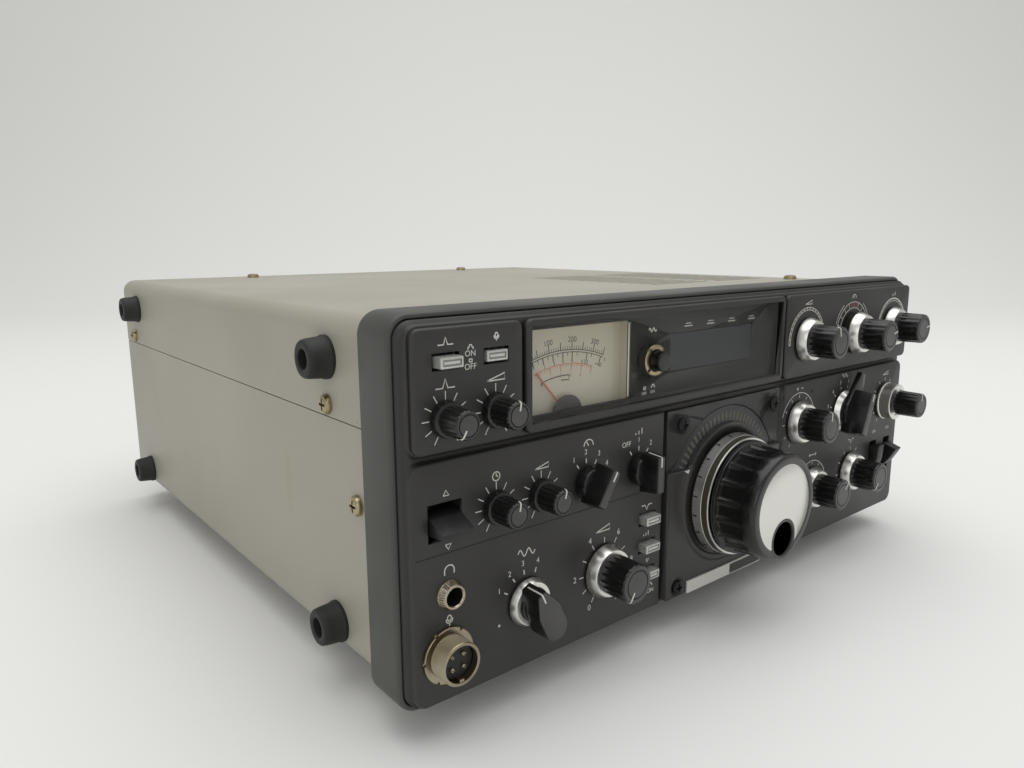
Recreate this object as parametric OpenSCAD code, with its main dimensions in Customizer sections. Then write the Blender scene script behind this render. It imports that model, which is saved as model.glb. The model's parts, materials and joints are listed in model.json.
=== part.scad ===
// Desktop short-wave transceiver: sheet-steel case, die-cast front frame, two-tier control panel.
// X runs along the front, Y from the front to the rear, Z up, in millimetres.
// Heights count from the frame's lower edge and depths from its front rim. place() then moves
// the whole part so that its origin is under the middle of its bounding box, on the feet.

/* [Front frame] */
// Width of the die-cast front frame
frame_w = 333; // [333:1:380]
// Height of the front frame
frame_h = 133; // [133:1:150]
// Depth of the frame from its front rim to its rear edge
frame_depth = 18.5; // [16:0.5:26]
// Radius of the frame's corners
frame_corner_r = 8; // [5:0.5:12]
// Thickness of the rim round the front panel
frame_rim = 2; // [1.4:0.1:2.4]

/* [Covers] */
// Depth from the frame's rim to the rear edge of the covers
case_depth = 334; // [322:1:400]
// Step from the frame's side in to the covers
cover_step = 3.6; // [3.2:0.1:6]
// Step from the frame's top and bottom in to the covers
cover_top_step = 2.7; // [2.7:0.1:5]
// Outside radius of the covers' long edges
cover_corner_r = 7; // [4:0.5:10]
// Thickness of the cover sheet
cover_t = 1.2; // [0.8:0.1:2]
// Height of the seam between the two covers
seam_h = 92.8; // [80:0.1:100]
// Width of the seam
seam_gap = 0.4; // [0.2:0.1:0.8]
// Gap between the covers' front ends and the ledge inside the frame
cover_end_gap = 1.5; // [0.5:0.1:3]
// Clearance between the covers and the frame
cover_gap = 0.3; // [0.2:0.05:0.5]

/* [Vents] */
// Length of one cooling slot
vent_slot_l = 48; // [30:1:50]
// Width of one cooling slot
vent_slot_w = 3; // [2:0.1:4]
// Distance from one slot to the next
vent_pitch = 8; // [6:0.5:12]
// Slots in each row over the output stage
vent_count = 13; // [6:1:14]
// Depth from the rim to the first slot in the top
vent_start = 75; // [50:1:120]
// Distance of the vent's middle from the right side of the covers
vent_side = 71; // [60:1:100]
// Slots in each row under the speaker
grille_count = 8; // [4:1:9]

/* [Front panel] */
// Clearance between the panel and the frame
panel_gap = 0.3; // [0.1:0.05:0.5]
// Radius of the panel's corners
panel_corner_r = 6; // [3:0.5:8]
// Thickness of the panel's plate
panel_t = 3; // [2:0.1:4]
// Thickness of the wall round the panel
panel_wall = 3; // [2:0.1:4]
// Depth of the ledge that the panel's wall seats on
panel_seat = 9; // [7:0.1:10]
// How far the plate stands in front of the rim
panel_base = 2.5; // [1.5:0.1:3.5]
// How far the lower tier stands in front of the rim
lower_face = 5.5; // [4.5:0.1:7]
// How far the bed of the upper plates stands in front of the rim
upper_bed = 4.5; // [3.5:0.1:5.5]
// How far the upper plates stand in front of the rim
upper_face = 7.2; // [6:0.1:9]
// Bare margin round the two tiers
tier_edge = 1.1; // [0.6:0.1:2]
// Height of the upper tier
upper_tier_h = 43.4; // [42:0.1:48]
// Height of the shadow gap between the tiers
tier_groove = 2; // [1:0.1:3]
// Margin of the upper plates on their bed
plate_edge = 1; // [0.5:0.1:2]
// Gap between two upper plates
plate_gap = 1.6; // [1:0.1:3]
// Radius of the upper plates' corners
plate_corner_r = 3; // [1.5:0.1:4]
// Width of the upper left plate
left_plate_w = 43; // [42:0.1:46]
// Width of the upper right plate
right_plate_w = 122.6; // [118:0.1:124]

/* [Display] */
// Margin of the window in the display frame at the sides and top
window_edge = 2.4; // [1.5:0.1:4]
// Margin of the window at the bottom
window_sill = 3.2; // [2.5:0.1:6]
// Thickness of the acrylic window
window_t = 2; // [1.5:0.1:2.5]
// How far the window's face lies behind the display frame's face
window_recess = 4.2; // [3:0.1:4.6]
// Width of the meter's opening
meter_w = 51; // [40:0.5:52]
// Height of the meter's opening
meter_h = 30.5; // [24:0.5:32]
// Distance of the meter's left edge from the panel's left edge
meter_left = 53; // [50:0.1:60]
// Distance of the meter's top from the panel's top edge
meter_top = 6.8; // [6:0.1:8]
// Wall of the meter's case
meter_wall = 2; // [1:0.1:3]
// Depth of the meter's case behind the panel
meter_depth = 26; // [20:0.5:34]
// Distance from the window's back to the scale
scale_depth = 5.5; // [5:0.1:8]
// Thickness of the scale
scale_t = 0.8; // [0.5:0.1:1.5]
// Room in the meter's case below its opening
meter_foot = 9; // [8:0.1:11]
// How far the needle's axis lies left of the meter's middle
pivot_side = 3.8; // [0:0.1:5]
// Drop of the needle's pivot below the meter's opening
pivot_drop = 2.5; // [2:0.1:5]
// Length of the needle from its pivot
needle_l = 22.5; // [18:0.5:27]
// Angle of the resting needle from upright
needle_rest = 42; // [36:0.5:45]
// Height of the digital read-out
readout_h = 16; // [12:0.5:18]
// Width of the digital read-out
readout_w = 57; // [40:0.5:60]
// Place of the read-out: from the panel's left edge, below its top edge
readout_at = [156.6, 21.8]; // [10:0.1:200]

/* [Fields of the controls] */

// Half width of the panel that the upper places are given for
upper_field_w = 164.2; // [150:0.1:190]
// Width beside the tuning escutcheon that the lower places are given for
side_field_w = 123.7; // [110:0.1:150]

/* [Places of the upper controls] */
// Blanker push button: from the panel's left edge, below its top edge
blanker_button_at = [14.2, 12.6]; // [10:0.1:200]
// Voice switch push button: from the left edge, below the top edge
vox_button_at = [33.9, 12.6]; // [10:0.1:200]
// Blanker level knob: from the left edge, below the top edge
blanker_level_at = [13.8, 30.6]; // [10:0.1:200]
// Voice gain knob: from the left edge, below the top edge
vox_gain_at = [33.4, 30.6]; // [10:0.1:200]
// Calibrator push button: from the left edge, below the top edge
calibrator_at = [115.8, 23.2]; // [10:0.1:200]
// Load knob: from the right edge, below the top edge
load_at = [107.2, 23.7]; // [10:0.1:200]
// Plate knob: from the right edge, below the top edge
plate_at = [64.2, 23.7]; // [10:0.1:200]
// Drive knob: from the right edge, below the top edge
drive_at = [21.2, 23.7]; // [10:0.1:200]

/* [Places of the lower controls] */
// Send and receive lever: from the panel's left edge, above its lower edge
standby_at = [13.8, 64]; // [10:0.1:200]
// Voice delay knob: from the left edge, above the lower edge
vox_delay_at = [34.6, 64]; // [10:0.1:200]
// Carrier knob: from the left edge, above the lower edge
carrier_at = [54.6, 63.9]; // [10:0.1:200]
// Meter switch: from the left edge, above the lower edge
meter_switch_at = [77.2, 63.6]; // [10:0.1:200]
// Gain control speed switch: from the left edge, above the lower edge
agc_switch_at = [105.5, 63.3]; // [10:0.1:200]
// Phones jack: from the left edge, above the lower edge
phones_at = [15.2, 38.4]; // [10:0.1:200]
// Microphone connector: from the left edge, above the lower edge
mic_at = [13.6, 17.7]; // [10:0.1:200]
// Mode switch: from the left edge, above the lower edge
mode_at = [48.3, 25.7]; // [10:0.1:200]
// Microphone gain knob: from the left edge, above the lower edge
mic_gain_at = [87.1, 26.3]; // [10:0.1:200]
// Lowest of the three push buttons: from the left edge, above the lower edge
button_column_at = [111.8, 17.9]; // [10:0.1:200]
// Distance from one push button of the column to the next
button_pitch = 11.7; // [10:0.1:14]
// Offset tuning knob: from the right edge, above the lower edge
rit_at = [107.2, 64.2]; // [10:0.1:200]
// Band switch: from the right edge, above the lower edge
band_at = [64.2, 63.7]; // [10:0.1:200]
// Gain pair: from the right edge, above the lower edge
gain_at = [19, 63]; // [10:0.1:200]
// Shift knob: from the right edge, above the lower edge
shift_at = [91.2, 27.7]; // [10:0.1:200]
// Notch knob: from the right edge, above the lower edge
notch_at = [52.7, 28.7]; // [10:0.1:200]
// Heater lever: from the right edge, above the lower edge
heater_at = [27.4, 31.7]; // [10:0.1:200]
// Power lever: from the right edge, above the lower edge
power_at = [11.8, 31.7]; // [10:0.1:200]

/* [Tuning] */
// Height of the tuning axis above the panel's lower edge
tuning_h = 41.5; // [40:0.1:46]
// Width of the tuning escutcheon
escutcheon_w = 81; // [80:0.5:86]
// Gap round the escutcheon
escutcheon_gap = 3; // [2:0.1:3.5]
// How far the escutcheon stands in front of the rim
escutcheon_face = 6.5; // [6:0.1:8]
// Radius of the raised ring round the dial
dial_lip_r = 31.5; // [30:0.1:34]
// Height of the raised ring
dial_lip_h = 0.2; // [0.1:0.1:2]
// Height of the upper, acrylic half of the escutcheon
dial_window_h = 26; // [20:0.5:28]
// Thickness of the acrylic half
dial_window_t = 2; // [1:0.1:2.5]
// Outer radius of the graduated ring
dial_ring_r = 27.2; // [26:0.1:28]
// Depth of the graduated ring
dial_ring_t = 8; // [3:0.1:9]
// Radius of the hub that carries the graduated ring
dial_hub_r = 15; // [10:0.1:20]
// Radius of the tuning knob's grip
tuning_grip_r = 24; // [20:0.1:26]
// Radius of the tuning knob's front edge
tuning_front_r = 22.3; // [18:0.1:24]
// Distance of the tuning knob's face from the rim
tuning_face = 35.3; // [28:0.1:45]
// Hollows round the tuning knob
tuning_scallops = 18; // [8:1:20]
// Depth of the hollows round the tuning knob
tuning_scallop_depth = 1.2; // [0.5:0.1:2]
// Radius of the metal disc on the tuning knob
tuning_disc_r = 18.6; // [14:0.1:20]
// Radius of the finger hollow
finger_hole_r = 7.4; // [5:0.1:8]
// Wall round the finger hollow
finger_hole_rim = 1.5; // [0.8:0.1:2]
// Distance of the finger hollow from the tuning axis
finger_hole_at = 13.6; // [10:0.1:14]
// Depth of the finger hollow
finger_hole_depth = 7; // [3:0.1:10]
// Radius of the sub dial
sub_dial_r = 38.5; // [34:0.1:39]
// Thickness of the sub dial
sub_dial_t = 1.5; // [1:0.1:2.5]

/* [Knobs] */
// Gap between a knob and its panel
knob_gap = 0.8; // [0.5:0.1:1.5]
// Diameter of a small knob's skirt
small_skirt_d = 11.9; // [10:0.1:14]
// Depth of a small knob's skirt
small_skirt_t = 2.5; // [1.5:0.1:4]
// Diameter of a small knob's grip
small_grip_d = 9.9; // [8:0.1:11]
// Distance of a small knob's front from its panel
small_reach = 12.1; // [9:0.1:16]
// Diameter of the metal ring under a large knob
ring_d = 21.4; // [18:0.1:23]
// Diameter of that ring at its front
ring_front_d = 18.4; // [16.5:0.1:20]
// Depth of the ring
ring_t = 4.5; // [3:0.1:6]
// Diameter of a large knob's grip
large_grip_d = 15.9; // [14:0.1:16.5]
// Distance of a large knob's front from its panel
large_reach = 17.4; // [14:0.1:24]
// Thickness of the black disc behind the plate knob
plate_disc_t = 2.7; // [1:0.1:4]
// Grooves round a knob's grip
grip_grooves = 18; // [8:1:30]
// Depth of those grooves
groove_depth = 0.5; // [0.2:0.05:0.8]
// Width of the pointer line on a knob's face
pointer_w = 0.8; // [0.4:0.1:1.5]
// Depth of the pointer line and of the cap's outline
mark_depth = 0.4; // [0.2:0.1:0.8]
// Diameter of a switch knob's base
bar_base_d = 13; // [10:0.1:16]
// Depth of a switch knob's base
bar_base_t = 4; // [2:0.1:6]
// Length of a switch knob's bar
bar_l = 15.6; // [12:0.1:20]
// Thickness of a switch knob's bar
bar_w = 6.4; // [4:0.1:9]
// Distance of a switch knob's front from its panel
bar_reach = 11.8; // [10:0.1:18]
// Length of the band switch's bar
band_bar_l = 23; // [18:0.1:26]
// Thickness of the band switch's bar
band_bar_w = 8.4; // [6:0.1:12]
// Reach of the band switch's bar in front of the panel
band_reach = 14.3; // [11:0.1:20]
// Diameter of the round plate under the band switch's bar
band_plate_d = 16; // [14:0.1:17]
// Length of that plate's pointer above the axis
band_nose = 21; // [14:0.1:23]
// Distance of that plate's front from the panel
band_plate_reach = 6.2; // [5:0.1:8]
// Part of a bar's width that is left at its front
bar_taper = 0.6; // [0.4:0.05:1]
// How much shorter a bar is at its front
bar_draft = 1.2; // [0:0.1:2]
// Diameter of the ring under the mode pointer
mode_ring_d = 18; // [15:0.1:20]
// Depth of the ring under the mode pointer and the band switch
mode_ring_t = 2.6; // [1.5:0.1:3.4]
// Length of the mode pointer above its axis
mode_tip = 8.8; // [7:0.1:10]
// Length of the mode pointer's tail below its axis
mode_tail = 12.3; // [10:0.1:16]
// Width of the mode pointer
mode_w = 10; // [8:0.1:12]
// Width of the mode pointer's tip
mode_tip_w = 3.8; // [2:0.1:6]
// Distance of the mode pointer's front from its panel
mode_reach = 12.2; // [8:0.1:16]
// Diameter of the outer gain knob
gain_ring_d = 20.4; // [15:0.1:22]
// Distance of the outer gain knob's front from its panel
gain_ring_reach = 7.8; // [6:0.1:12]
// Diameter of the inner gain knob
gain_inner_d = 13.8; // [10:0.1:15]
// Distance of the inner gain knob's front from its panel
gain_inner_reach = 20.6; // [16:0.1:28]
// Diameter of a control's shaft
shaft_d = 6; // [4:0.1:6.5]
// Radial clearance of a shaft in its bush
shaft_gap = 0.1; // [0.05:0.01:0.1]
// Diameter of a control's bush
bush_d = 9; // [8:0.1:10]
// Diameter of the hollow shaft of the outer gain knob
sleeve_d = 8; // [7.5:0.1:9]
// Diameter of the gain pair's bush
gain_bush_d = 11; // [10.5:0.1:13]
// Clearance of a bush in the panel
bush_gap = 0.25; // [0.15:0.05:0.5]

/* [Buttons and levers] */
// Width of a push button
button_w = 8.5; // [7:0.1:10]
// Height of a push button
button_h = 3.6; // [3:0.1:5]
// Clearance round a push button and a lever
button_gap = 0.4; // [0.3:0.05:0.6]
// Gap round a key in its slot
key_gap = 0.9; // [0.3:0.1:1]
// How far a released button stands out of its panel
button_out = 3.7; // [3.4:0.1:6]
// Travel of a push button
button_travel = 3; // [2:0.1:3.5]
// Diameter of the calibrator button
round_button_d = 8; // [6:0.1:9]
// How far the calibrator button stands out of the window
round_button_out = 5.8; // [5:0.1:10]
// Diameter of the calibrator's ring nut
ring_nut_d = 12.6; // [11:0.1:14]
// Depth of the ring nut
ring_nut_t = 1.5; // [1:0.1:3]
// Width of the send and receive lever
standby_w = 12.4; // [10:0.1:13]
// Height of the send and receive lever's slot
standby_slot_h = 12.8; // [11:0.1:15]
// How far the send and receive lever stands out of the panel
standby_reach = 7.5; // [5:0.1:10]
// How far the heater and power levers stand out of the panel
rocker_reach = 7.4; // [6:0.1:11]
// Width of the heater and power levers
rocker_w = 6.6; // [5:0.1:8]
// Height of the slots of the heater and power levers
rocker_slot_h = 18.6; // [18:0.1:22]
// Swing of a lever from one stop to the other
lever_swing = 24; // [14:1:26]
// Diameter of a lever's pivot pin
lever_pin_d = 2.4; // [2:0.1:3]
// Depth of the lever's pivot behind the panel's face
lever_pivot = 3.5; // [3:0.1:4.5]

/* [Sockets] */
// Diameter of the phones jack's bore
phones_bore_d = 6.5; // [6.4:0.05:7]
// Depth of the phones jack's bore
phones_bore_l = 32; // [30:0.5:38]
// Diameter of the phones jack's nut
phones_nut_d = 10.2; // [9:0.1:12]
// How far the phones nut stands out of the panel
phones_nut_t = 2.8; // [1:0.1:3]
// How much narrower that nut is at its front
phones_nut_cone = 1.6; // [0:0.1:2.4]
// Diameter of the microphone connector's threaded barrel
mic_barrel_d = 15; // [14:0.1:16]
// Bore of that barrel
mic_bore_d = 12.4; // [11:0.1:13]
// Diameter of the microphone connector's flange
mic_flange_d = 19.6; // [18:0.1:22]
// Thickness of the flange
mic_flange_t = 1.4; // [1:0.1:2]
// How far the microphone connector stands out of the panel
mic_reach = 8.4; // [7:0.1:12]
// Diameter of a connector pin
mic_pin_d = 1.6; // [1:0.1:2]
// Circle of the connector's pins
mic_pin_circle = 6.4; // [5:0.1:7]
// Diameter of the antenna socket's thread
antenna_d = 15.8; // [15:0.1:16.5]
// How far the antenna socket stands out of the rear panel
antenna_reach = 12; // [9:0.1:14]
// Diameter of the antenna socket's flange
antenna_flange_d = 24.8; // [22:0.1:28]
// Diameter of the earth stud
earth_d = 4; // [3:0.5:6]

/* [Feet and handle] */
// Height of the bottom feet
foot_h = 14; // [8:0.5:25]
// Diameter of a bottom foot
foot_d = 24; // [18:0.5:30]
// Distance of the bottom feet from the covers' sides
foot_side = 32; // [24:1:50]
// Distance of the bottom feet from the covers' ends
foot_end = 34; // [28:1:60]
// Length of the side feet
side_foot_h = 9; // [6:0.1:14]
// Diameter of a side foot at its base
side_foot_d = 15.8; // [12:0.1:18]
// Diameter of a side foot at its end
side_foot_end_d = 13.6; // [10:0.1:15]
// Diameter of the hollow in a side foot
side_foot_hole_d = 7; // [5:0.1:8]
// Depth of the front side feet from the rim
side_foot_front = 48.5; // [36:0.5:80]
// Distance of the rear side feet from the covers' rear edge
side_foot_rear = 30; // [20:0.5:60]
// Height of the lower side feet
side_foot_low = 14.3; // [12:0.1:25]
// Distance of the upper side feet below the frame's top
side_foot_high = 18.6; // [16:0.1:24]
// How far the handle stands out of the right side
handle_reach = 9; // [8:0.1:20]
// Thickness of the handle's strap
handle_t = 3; // [2:0.1:4]
// Width of the handle's strap
handle_w = 24; // [16:0.5:34]
// Length of the handle
handle_l = 170; // [130:1:200]
// Length of each end block of the handle
handle_end_l = 22; // [15:1:30]
// Height of the handle above the frame's lower edge
handle_h = 60; // [40:1:75]
// Diameter of a cover screw's head
screw_head_d = 7.4; // [5:0.1:9]
// Height of a cover screw's head
screw_head_h = 2.4; // [1.5:0.1:2.6]
// Diameter of a screw's shank
screw_shank_d = 3; // [2:0.1:4]
// Clearance of a screw's shank in its hole
screw_gap = 0.2; // [0.1:0.05:0.4]
// Distance of the rear top screws from the middle
top_screw_x = 86; // [40:1:120]
// Distance of the rear top screws from the covers' rear edge
top_screw_rear = 18; // [12:0.5:24]
// Place of the front top screw, from the middle and behind the rim
top_screw_front = [142, 54.5]; // [36:0.5:150]
// Distance of the rear screws from the covers' rear edge
screw_rear = 20; // [14:0.5:30]
// Height of the upper side screws above the seam
screw_above_seam = 4.6; // [4:0.1:8]
// Height of the lower side screws
side_screw_low = 65; // [30:1:75]
// Diameter of an escutcheon screw's head
small_screw_d = 6.6; // [5:0.1:8]
// Height of an escutcheon screw's head
small_screw_h = 1.4; // [0.8:0.1:2]

/* [Inside] */
// Thickness of the chassis sheet
sheet_t = 1.5; // [1:0.1:2.5]
// Width of the rails under the top cover
rail_w = 16; // [10:0.5:24]
// Depth of the chassis front plate behind the rim
front_plate_y = 12; // [11:0.1:16]
// Height of the chassis deck
deck_h = 10; // [9.5:0.1:10.5]
// Distance of the rear panel from the covers' rear edge
rear_inset = 8; // [4:0.1:14]
// Diameter of a potentiometer
pot_d = 17; // [14:0.1:19]
// Depth of a potentiometer
pot_l = 10; // [7:0.1:15]
// Diameter of a rotary switch
wafer_d = 22; // [18:0.1:24]
// Depth of a rotary switch
wafer_l = 26; // [18:0.5:40]
// Side of a variable capacitor
capacitor_w = 32; // [26:0.5:33]
// Depth of a variable capacitor
capacitor_l = 46; // [30:0.5:60]
// Size of the tuning unit: width, depth, height
tuning_unit_size = [74, 86, 66]; // [40:1:120]
// Size of the power transformer: width, depth, height
transformer_size = [88, 74, 84]; // [40:1:120]
// Distance of the power transformer from the rear panel
transformer_rear = 30; // [26:1:60]
// Side of the cooling fan
fan_size = 80; // [60:1:90]
// Depth of the cooling fan
fan_depth = 25; // [15:0.5:38]
// Radial gap between the fan's blades and its ring
fan_gap = 2; // [1:0.1:4]
// Width of the output stage's cage
cage_w = 100; // [92:1:108]
// Depth of the cage
cage_l = 96; // [85:1:110]
// Diameter of an output tube
tube_d = 38; // [25:0.5:42]
// Height of an output tube
tube_h = 78; // [50:1:84]
// Diameter of the speaker
speaker_d = 90; // [70:1:96]
// Height of the speaker
speaker_h = 32; // [20:1:45]
// Gap between a board and the parts around it
inside_gap = 6; // [4:0.5:10]
// Height of the boards above the deck
board_clear = 12; // [8:0.5:16]
// Width of a screening can
can_w = 9; // [6:0.1:12]
// Height of the lowest screening cans
can_h = 13; // [8:0.1:18]

/* [Hidden] */
$fn = 64;
cut = 1;
panel_left = -frame_w / 2 + frame_rim + panel_gap;
panel_right = -panel_left;
upper_fit = panel_right / upper_field_w;
side_fit = (panel_right - escutcheon_w / 2) / side_field_w;
panel_bottom = frame_rim + panel_gap;
panel_top = frame_h - panel_bottom;
tier_h = panel_top - upper_tier_h;
lower_top = tier_h - tier_groove / 2;
bed_bottom = tier_h + tier_groove / 2;
bed_top = panel_top - tier_edge;
plates_left = panel_left + tier_edge + plate_edge;
plates_right = -plates_left;
plates_bottom = bed_bottom + plate_edge;
plates_top = bed_top - plate_edge;
display_left = plates_left + left_plate_w * upper_fit + plate_gap;
display_right = plates_right - right_plate_w * upper_fit - plate_gap;
window_left = display_left + window_edge;
window_right = display_right - window_edge;
window_bottom = plates_bottom + window_sill;
window_top = plates_top - window_edge;
window_y = -upper_face + window_recess;
window_back = window_y + window_t;
plate_back = -panel_base + panel_t;

cover_half = frame_w / 2 - cover_step;
cover_bottom = cover_top_step;
cover_top = frame_h - cover_top_step;
cover_front = panel_seat + cover_end_gap;
inner_half = cover_half - cover_t;
rear_y = case_depth - rear_inset;
rear_face = rear_y + sheet_t;
deck_top = deck_h + sheet_t;
plate_front = front_plate_y;
plate_rear = front_plate_y + sheet_t;
chassis_low = cover_bottom + cover_t + cover_corner_r;
chassis_high = cover_top - cover_t - cover_corner_r;
rail_top = cover_top - cover_t;

// Where a control stands, measured from the panel's edges and stretched with the panel
function from_top_left(p) = [panel_left + p[0] * upper_fit, panel_top - p[1]];
function from_top_right(p) = [panel_right - p[0] * upper_fit, panel_top - p[1]];
function from_low_left(p) = [panel_left + p[0] * side_fit, panel_bottom + p[1]];
function from_low_right(p) = [panel_right - p[0] * side_fit, panel_bottom + p[1]];

blanker_button_p = from_top_left(blanker_button_at);
vox_button_p = from_top_left(vox_button_at);
blanker_level_p = from_top_left(blanker_level_at);
vox_gain_p = from_top_left(vox_gain_at);
calibrator_p = from_top_left(calibrator_at);
readout_p = from_top_left(readout_at);
load_p = from_top_right(load_at);
plate_p = from_top_right(plate_at);
drive_p = from_top_right(drive_at);
standby_p = from_low_left(standby_at);
vox_delay_p = from_low_left(vox_delay_at);
carrier_p = from_low_left(carrier_at);
meter_switch_p = from_low_left(meter_switch_at);
agc_switch_p = from_low_left(agc_switch_at);
phones_p = from_low_left(phones_at);
mic_p = from_low_left(mic_at);
mode_p = from_low_left(mode_at);
mic_gain_p = from_low_left(mic_gain_at);
column_p = [for (i = [0:2]) from_low_left(button_column_at + [0, i * button_pitch])];
rit_p = from_low_right(rit_at);
band_p = from_low_right(band_at);
gain_p = from_low_right(gain_at);
shift_p = from_low_right(shift_at);
notch_p = from_low_right(notch_at);
heater_p = from_low_right(heater_at);
power_p = from_low_right(power_at);
tuning_p = [0, panel_bottom + tuning_h];

upper_pots = [blanker_level_p, vox_gain_p];
lower_pots = [vox_delay_p, carrier_p, mic_gain_p, rit_p, shift_p, notch_p];
lower_wafers = [meter_switch_p, agc_switch_p, mode_p, band_p];
upper_capacitors = [load_p, plate_p, drive_p];
shaft_places = concat(upper_pots, lower_pots, lower_wafers, upper_capacitors);
key_places = concat([blanker_button_p, vox_button_p], column_p);

ring_seat = 0.1;
bush_hole_d = bush_d + 2 * bush_gap;
gain_hole_d = gain_bush_d + 2 * bush_gap;
shaft_bore_d = shaft_d + 2 * shaft_gap;
shaft_end = plate_rear + 6;
key_hole_w = button_w + 2 * key_gap;
key_hole_h = button_h + 2 * key_gap;
stem_d = 4;
stem_bore_d = stem_d + 2 * shaft_gap;

escutcheon_half = escutcheon_w / 2;
escutcheon_low = panel_bottom + tier_edge + 0.5;
escutcheon_top = lower_top - 0.8;
dial_split = escutcheon_top - dial_window_h;
escutcheon_screw_x = escutcheon_half - 7.5;
escutcheon_screw_z = [escutcheon_low + 4.2, escutcheon_top - 6];
dial_bay_y = -escutcheon_face + dial_window_t;
sub_dial_y = dial_bay_y + 0.3;
sub_dial_hub_d = 12;
dial_bay_r = sub_dial_r + 0.6;
dial_lip_w = 3.3;
dial_well_d = 2 * (dial_lip_r - dial_lip_w);
finger_rim_d = 2 * (finger_hole_r + finger_hole_rim);

meter_x0 = panel_left + meter_left * upper_fit;
meter_x1 = meter_x0 + meter_w;
meter_z1 = panel_top - meter_top;
meter_z0 = meter_z1 - meter_h;
scale_y = window_back + scale_depth;
meter_low = meter_z0 - meter_foot + meter_wall;
needle_p = [(meter_x0 + meter_x1) / 2 - pivot_side, meter_z0 - pivot_drop];
needle_y = scale_y - 1.6;
scale_back = scale_y + scale_t;
movement_w = 24;
movement_t = 6;
pivot_l = 10;
pivot_d = 2;
pivot_bore_d = pivot_d + 2 * shaft_gap;
needle_w = 0.6;

side_screws = [[side_foot_front + 0.5, seam_h + screw_above_seam],
    [case_depth - screw_rear, seam_h + screw_above_seam],
    [frame_depth + 10.5, side_screw_low]];
top_screws = [[-top_screw_x, case_depth - top_screw_rear], [top_screw_x, case_depth - top_screw_rear],
    top_screw_front];
screw_hole_d = screw_shank_d + 2 * screw_gap;
screw_l = cover_t + sheet_t + 0.5;
lever_pin_end = 1.2;
standby_tip = -lever_pivot - standby_reach;
standby_outline = [[2, -3], [2, 3], [-lever_pivot, 2.8], [standby_tip, 0.9], [standby_tip, -0.9],
    [-lever_pivot, -3]];
rocker_tip = -lever_pivot - rocker_reach;
rocker_outline = [[2, -4], [2, 4], [-lever_pivot, 6.2], [rocker_tip, 3.6], [rocker_tip + 0.4, 2.6],
    [-lever_pivot - 3.5, -3.6], [-lever_pivot, -7.6]];
side_foot_y = [side_foot_front, case_depth - side_foot_rear];
side_foot_z = [side_foot_low, frame_h - side_foot_high];
foot_y = [cover_front + foot_end, case_depth - foot_end];
foot_x = cover_half - foot_side;
handle_y = (frame_depth + case_depth) / 2;
handle_block = handle_reach - handle_t;

antenna_side = 50;
antenna_drop = 38;
antenna_neck = 8;
earth_side = 24;
socket_row = 46;
inlet_side = 34;
fuse_side = 70;
remote_side = 104;
fan_side = 62;
fan_lift = 14;
cage_gap = 4;
tube_gap = 6;
tube_base_h = 12;
tube_dome_h = 8;
fan_wall = 4;
fan_hub_d = 30;
fan_hub_t = 5;
fan_boss_d = 10;
fan_boss_l = 16;
speaker_side = 68;
speaker_back = 37;
phones_body_w = 16;
phones_body_h = 15;
antenna_p = [-cover_half + antenna_side, frame_h - antenna_drop];
earth_p = [-cover_half + earth_side, frame_h - antenna_drop];
inlet_p = [-cover_half + inlet_side, socket_row];
fuse_p = [-cover_half + fuse_side, socket_row];
remote_p = [-cover_half + remote_side, socket_row];
fan_p = [cover_half - fan_side, deck_top + fan_size / 2 + fan_lift];
cage_x1 = inner_half - sheet_t - cage_gap;
cage_y1 = rear_y - fan_depth;
cage_h = fan_p[1] + fan_size / 2 + 2;
tube_x = [for (s = [-1, 1]) cage_x1 - cage_w / 2 + s * (tube_d + tube_gap) / 2];
speaker_p = [-cover_half + speaker_side, plate_rear + speaker_d / 2 + speaker_back];
board_h = deck_top + board_clear;
board_split = -tuning_unit_size[0] / 2 - board_clear;
coil_h = 14;
rotor_d = fan_size - fan_wall - 2 * fan_gap;

// Middle and base of the whole part, so that its origin lies under its bounding box
rear_reach = max(rear_face + antenna_reach, case_depth);
mid_x = (handle_reach - side_foot_h) / 2;
mid_y = (rear_reach - tuning_face) / 2;
base_z = foot_h - cover_bottom;

// Helpers: a flat shape drawn in X and Z, and given depth along Y
module place() translate([-mid_x, -mid_y, base_z]) children();
module at(p) translate([p[0], 0, p[1]]) children();
module deep(y0, y1) translate([0, y1, 0]) rotate([90, 0, 0]) linear_extrude(y1 - y0) children();

module rounded_rect(x0, x1, z0, z1, r) {
    translate([x0 + r, z0]) square([x1 - x0 - 2 * r, z1 - z0]);
    translate([x0, z0 + r]) square([x1 - x0, z1 - z0 - 2 * r]);
    for (x = [x0 + r, x1 - r], z = [z0 + r, z1 - r]) translate([x, z]) circle(r);
}

module slab(x0, x1, z0, z1, r, y0, y1) deep(y0, y1) rounded_rect(x0, x1, z0, z1, r);
module block(x0, x1, y0, y1, z0, z1) translate([x0, y0, z0]) cube([x1 - x0, y1 - y0, z1 - z0]);
module block_at(p, w, h, y0, y1) block(p[0] - w / 2, p[0] + w / 2, y0, y1, p[1] - h / 2, p[1] + h / 2);

// A turned piece along Y, from its rear end y0 to its front end y1
module turned(y0, y1, d0, d1) translate([0, y0, 0]) rotate([90, 0, 0])
    cylinder(h = y0 - y1, d1 = d0, d2 = d1);

module fluted(d, grooves, depth) difference() {
    circle(d = d);
    for (i = [0:grooves - 1]) rotate(i * 360 / grooves) translate([d / 2 + depth / 2, 0]) circle(depth * 1.5);
}

// Casing

module cover_shell() difference() {
    slab(-cover_half, cover_half, cover_bottom, cover_top, cover_corner_r, cover_front, case_depth);
    slab(-inner_half, inner_half, cover_bottom + cover_t, cover_top - cover_t, cover_corner_r - cover_t,
        cover_front - cut, case_depth + cut);
}

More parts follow.
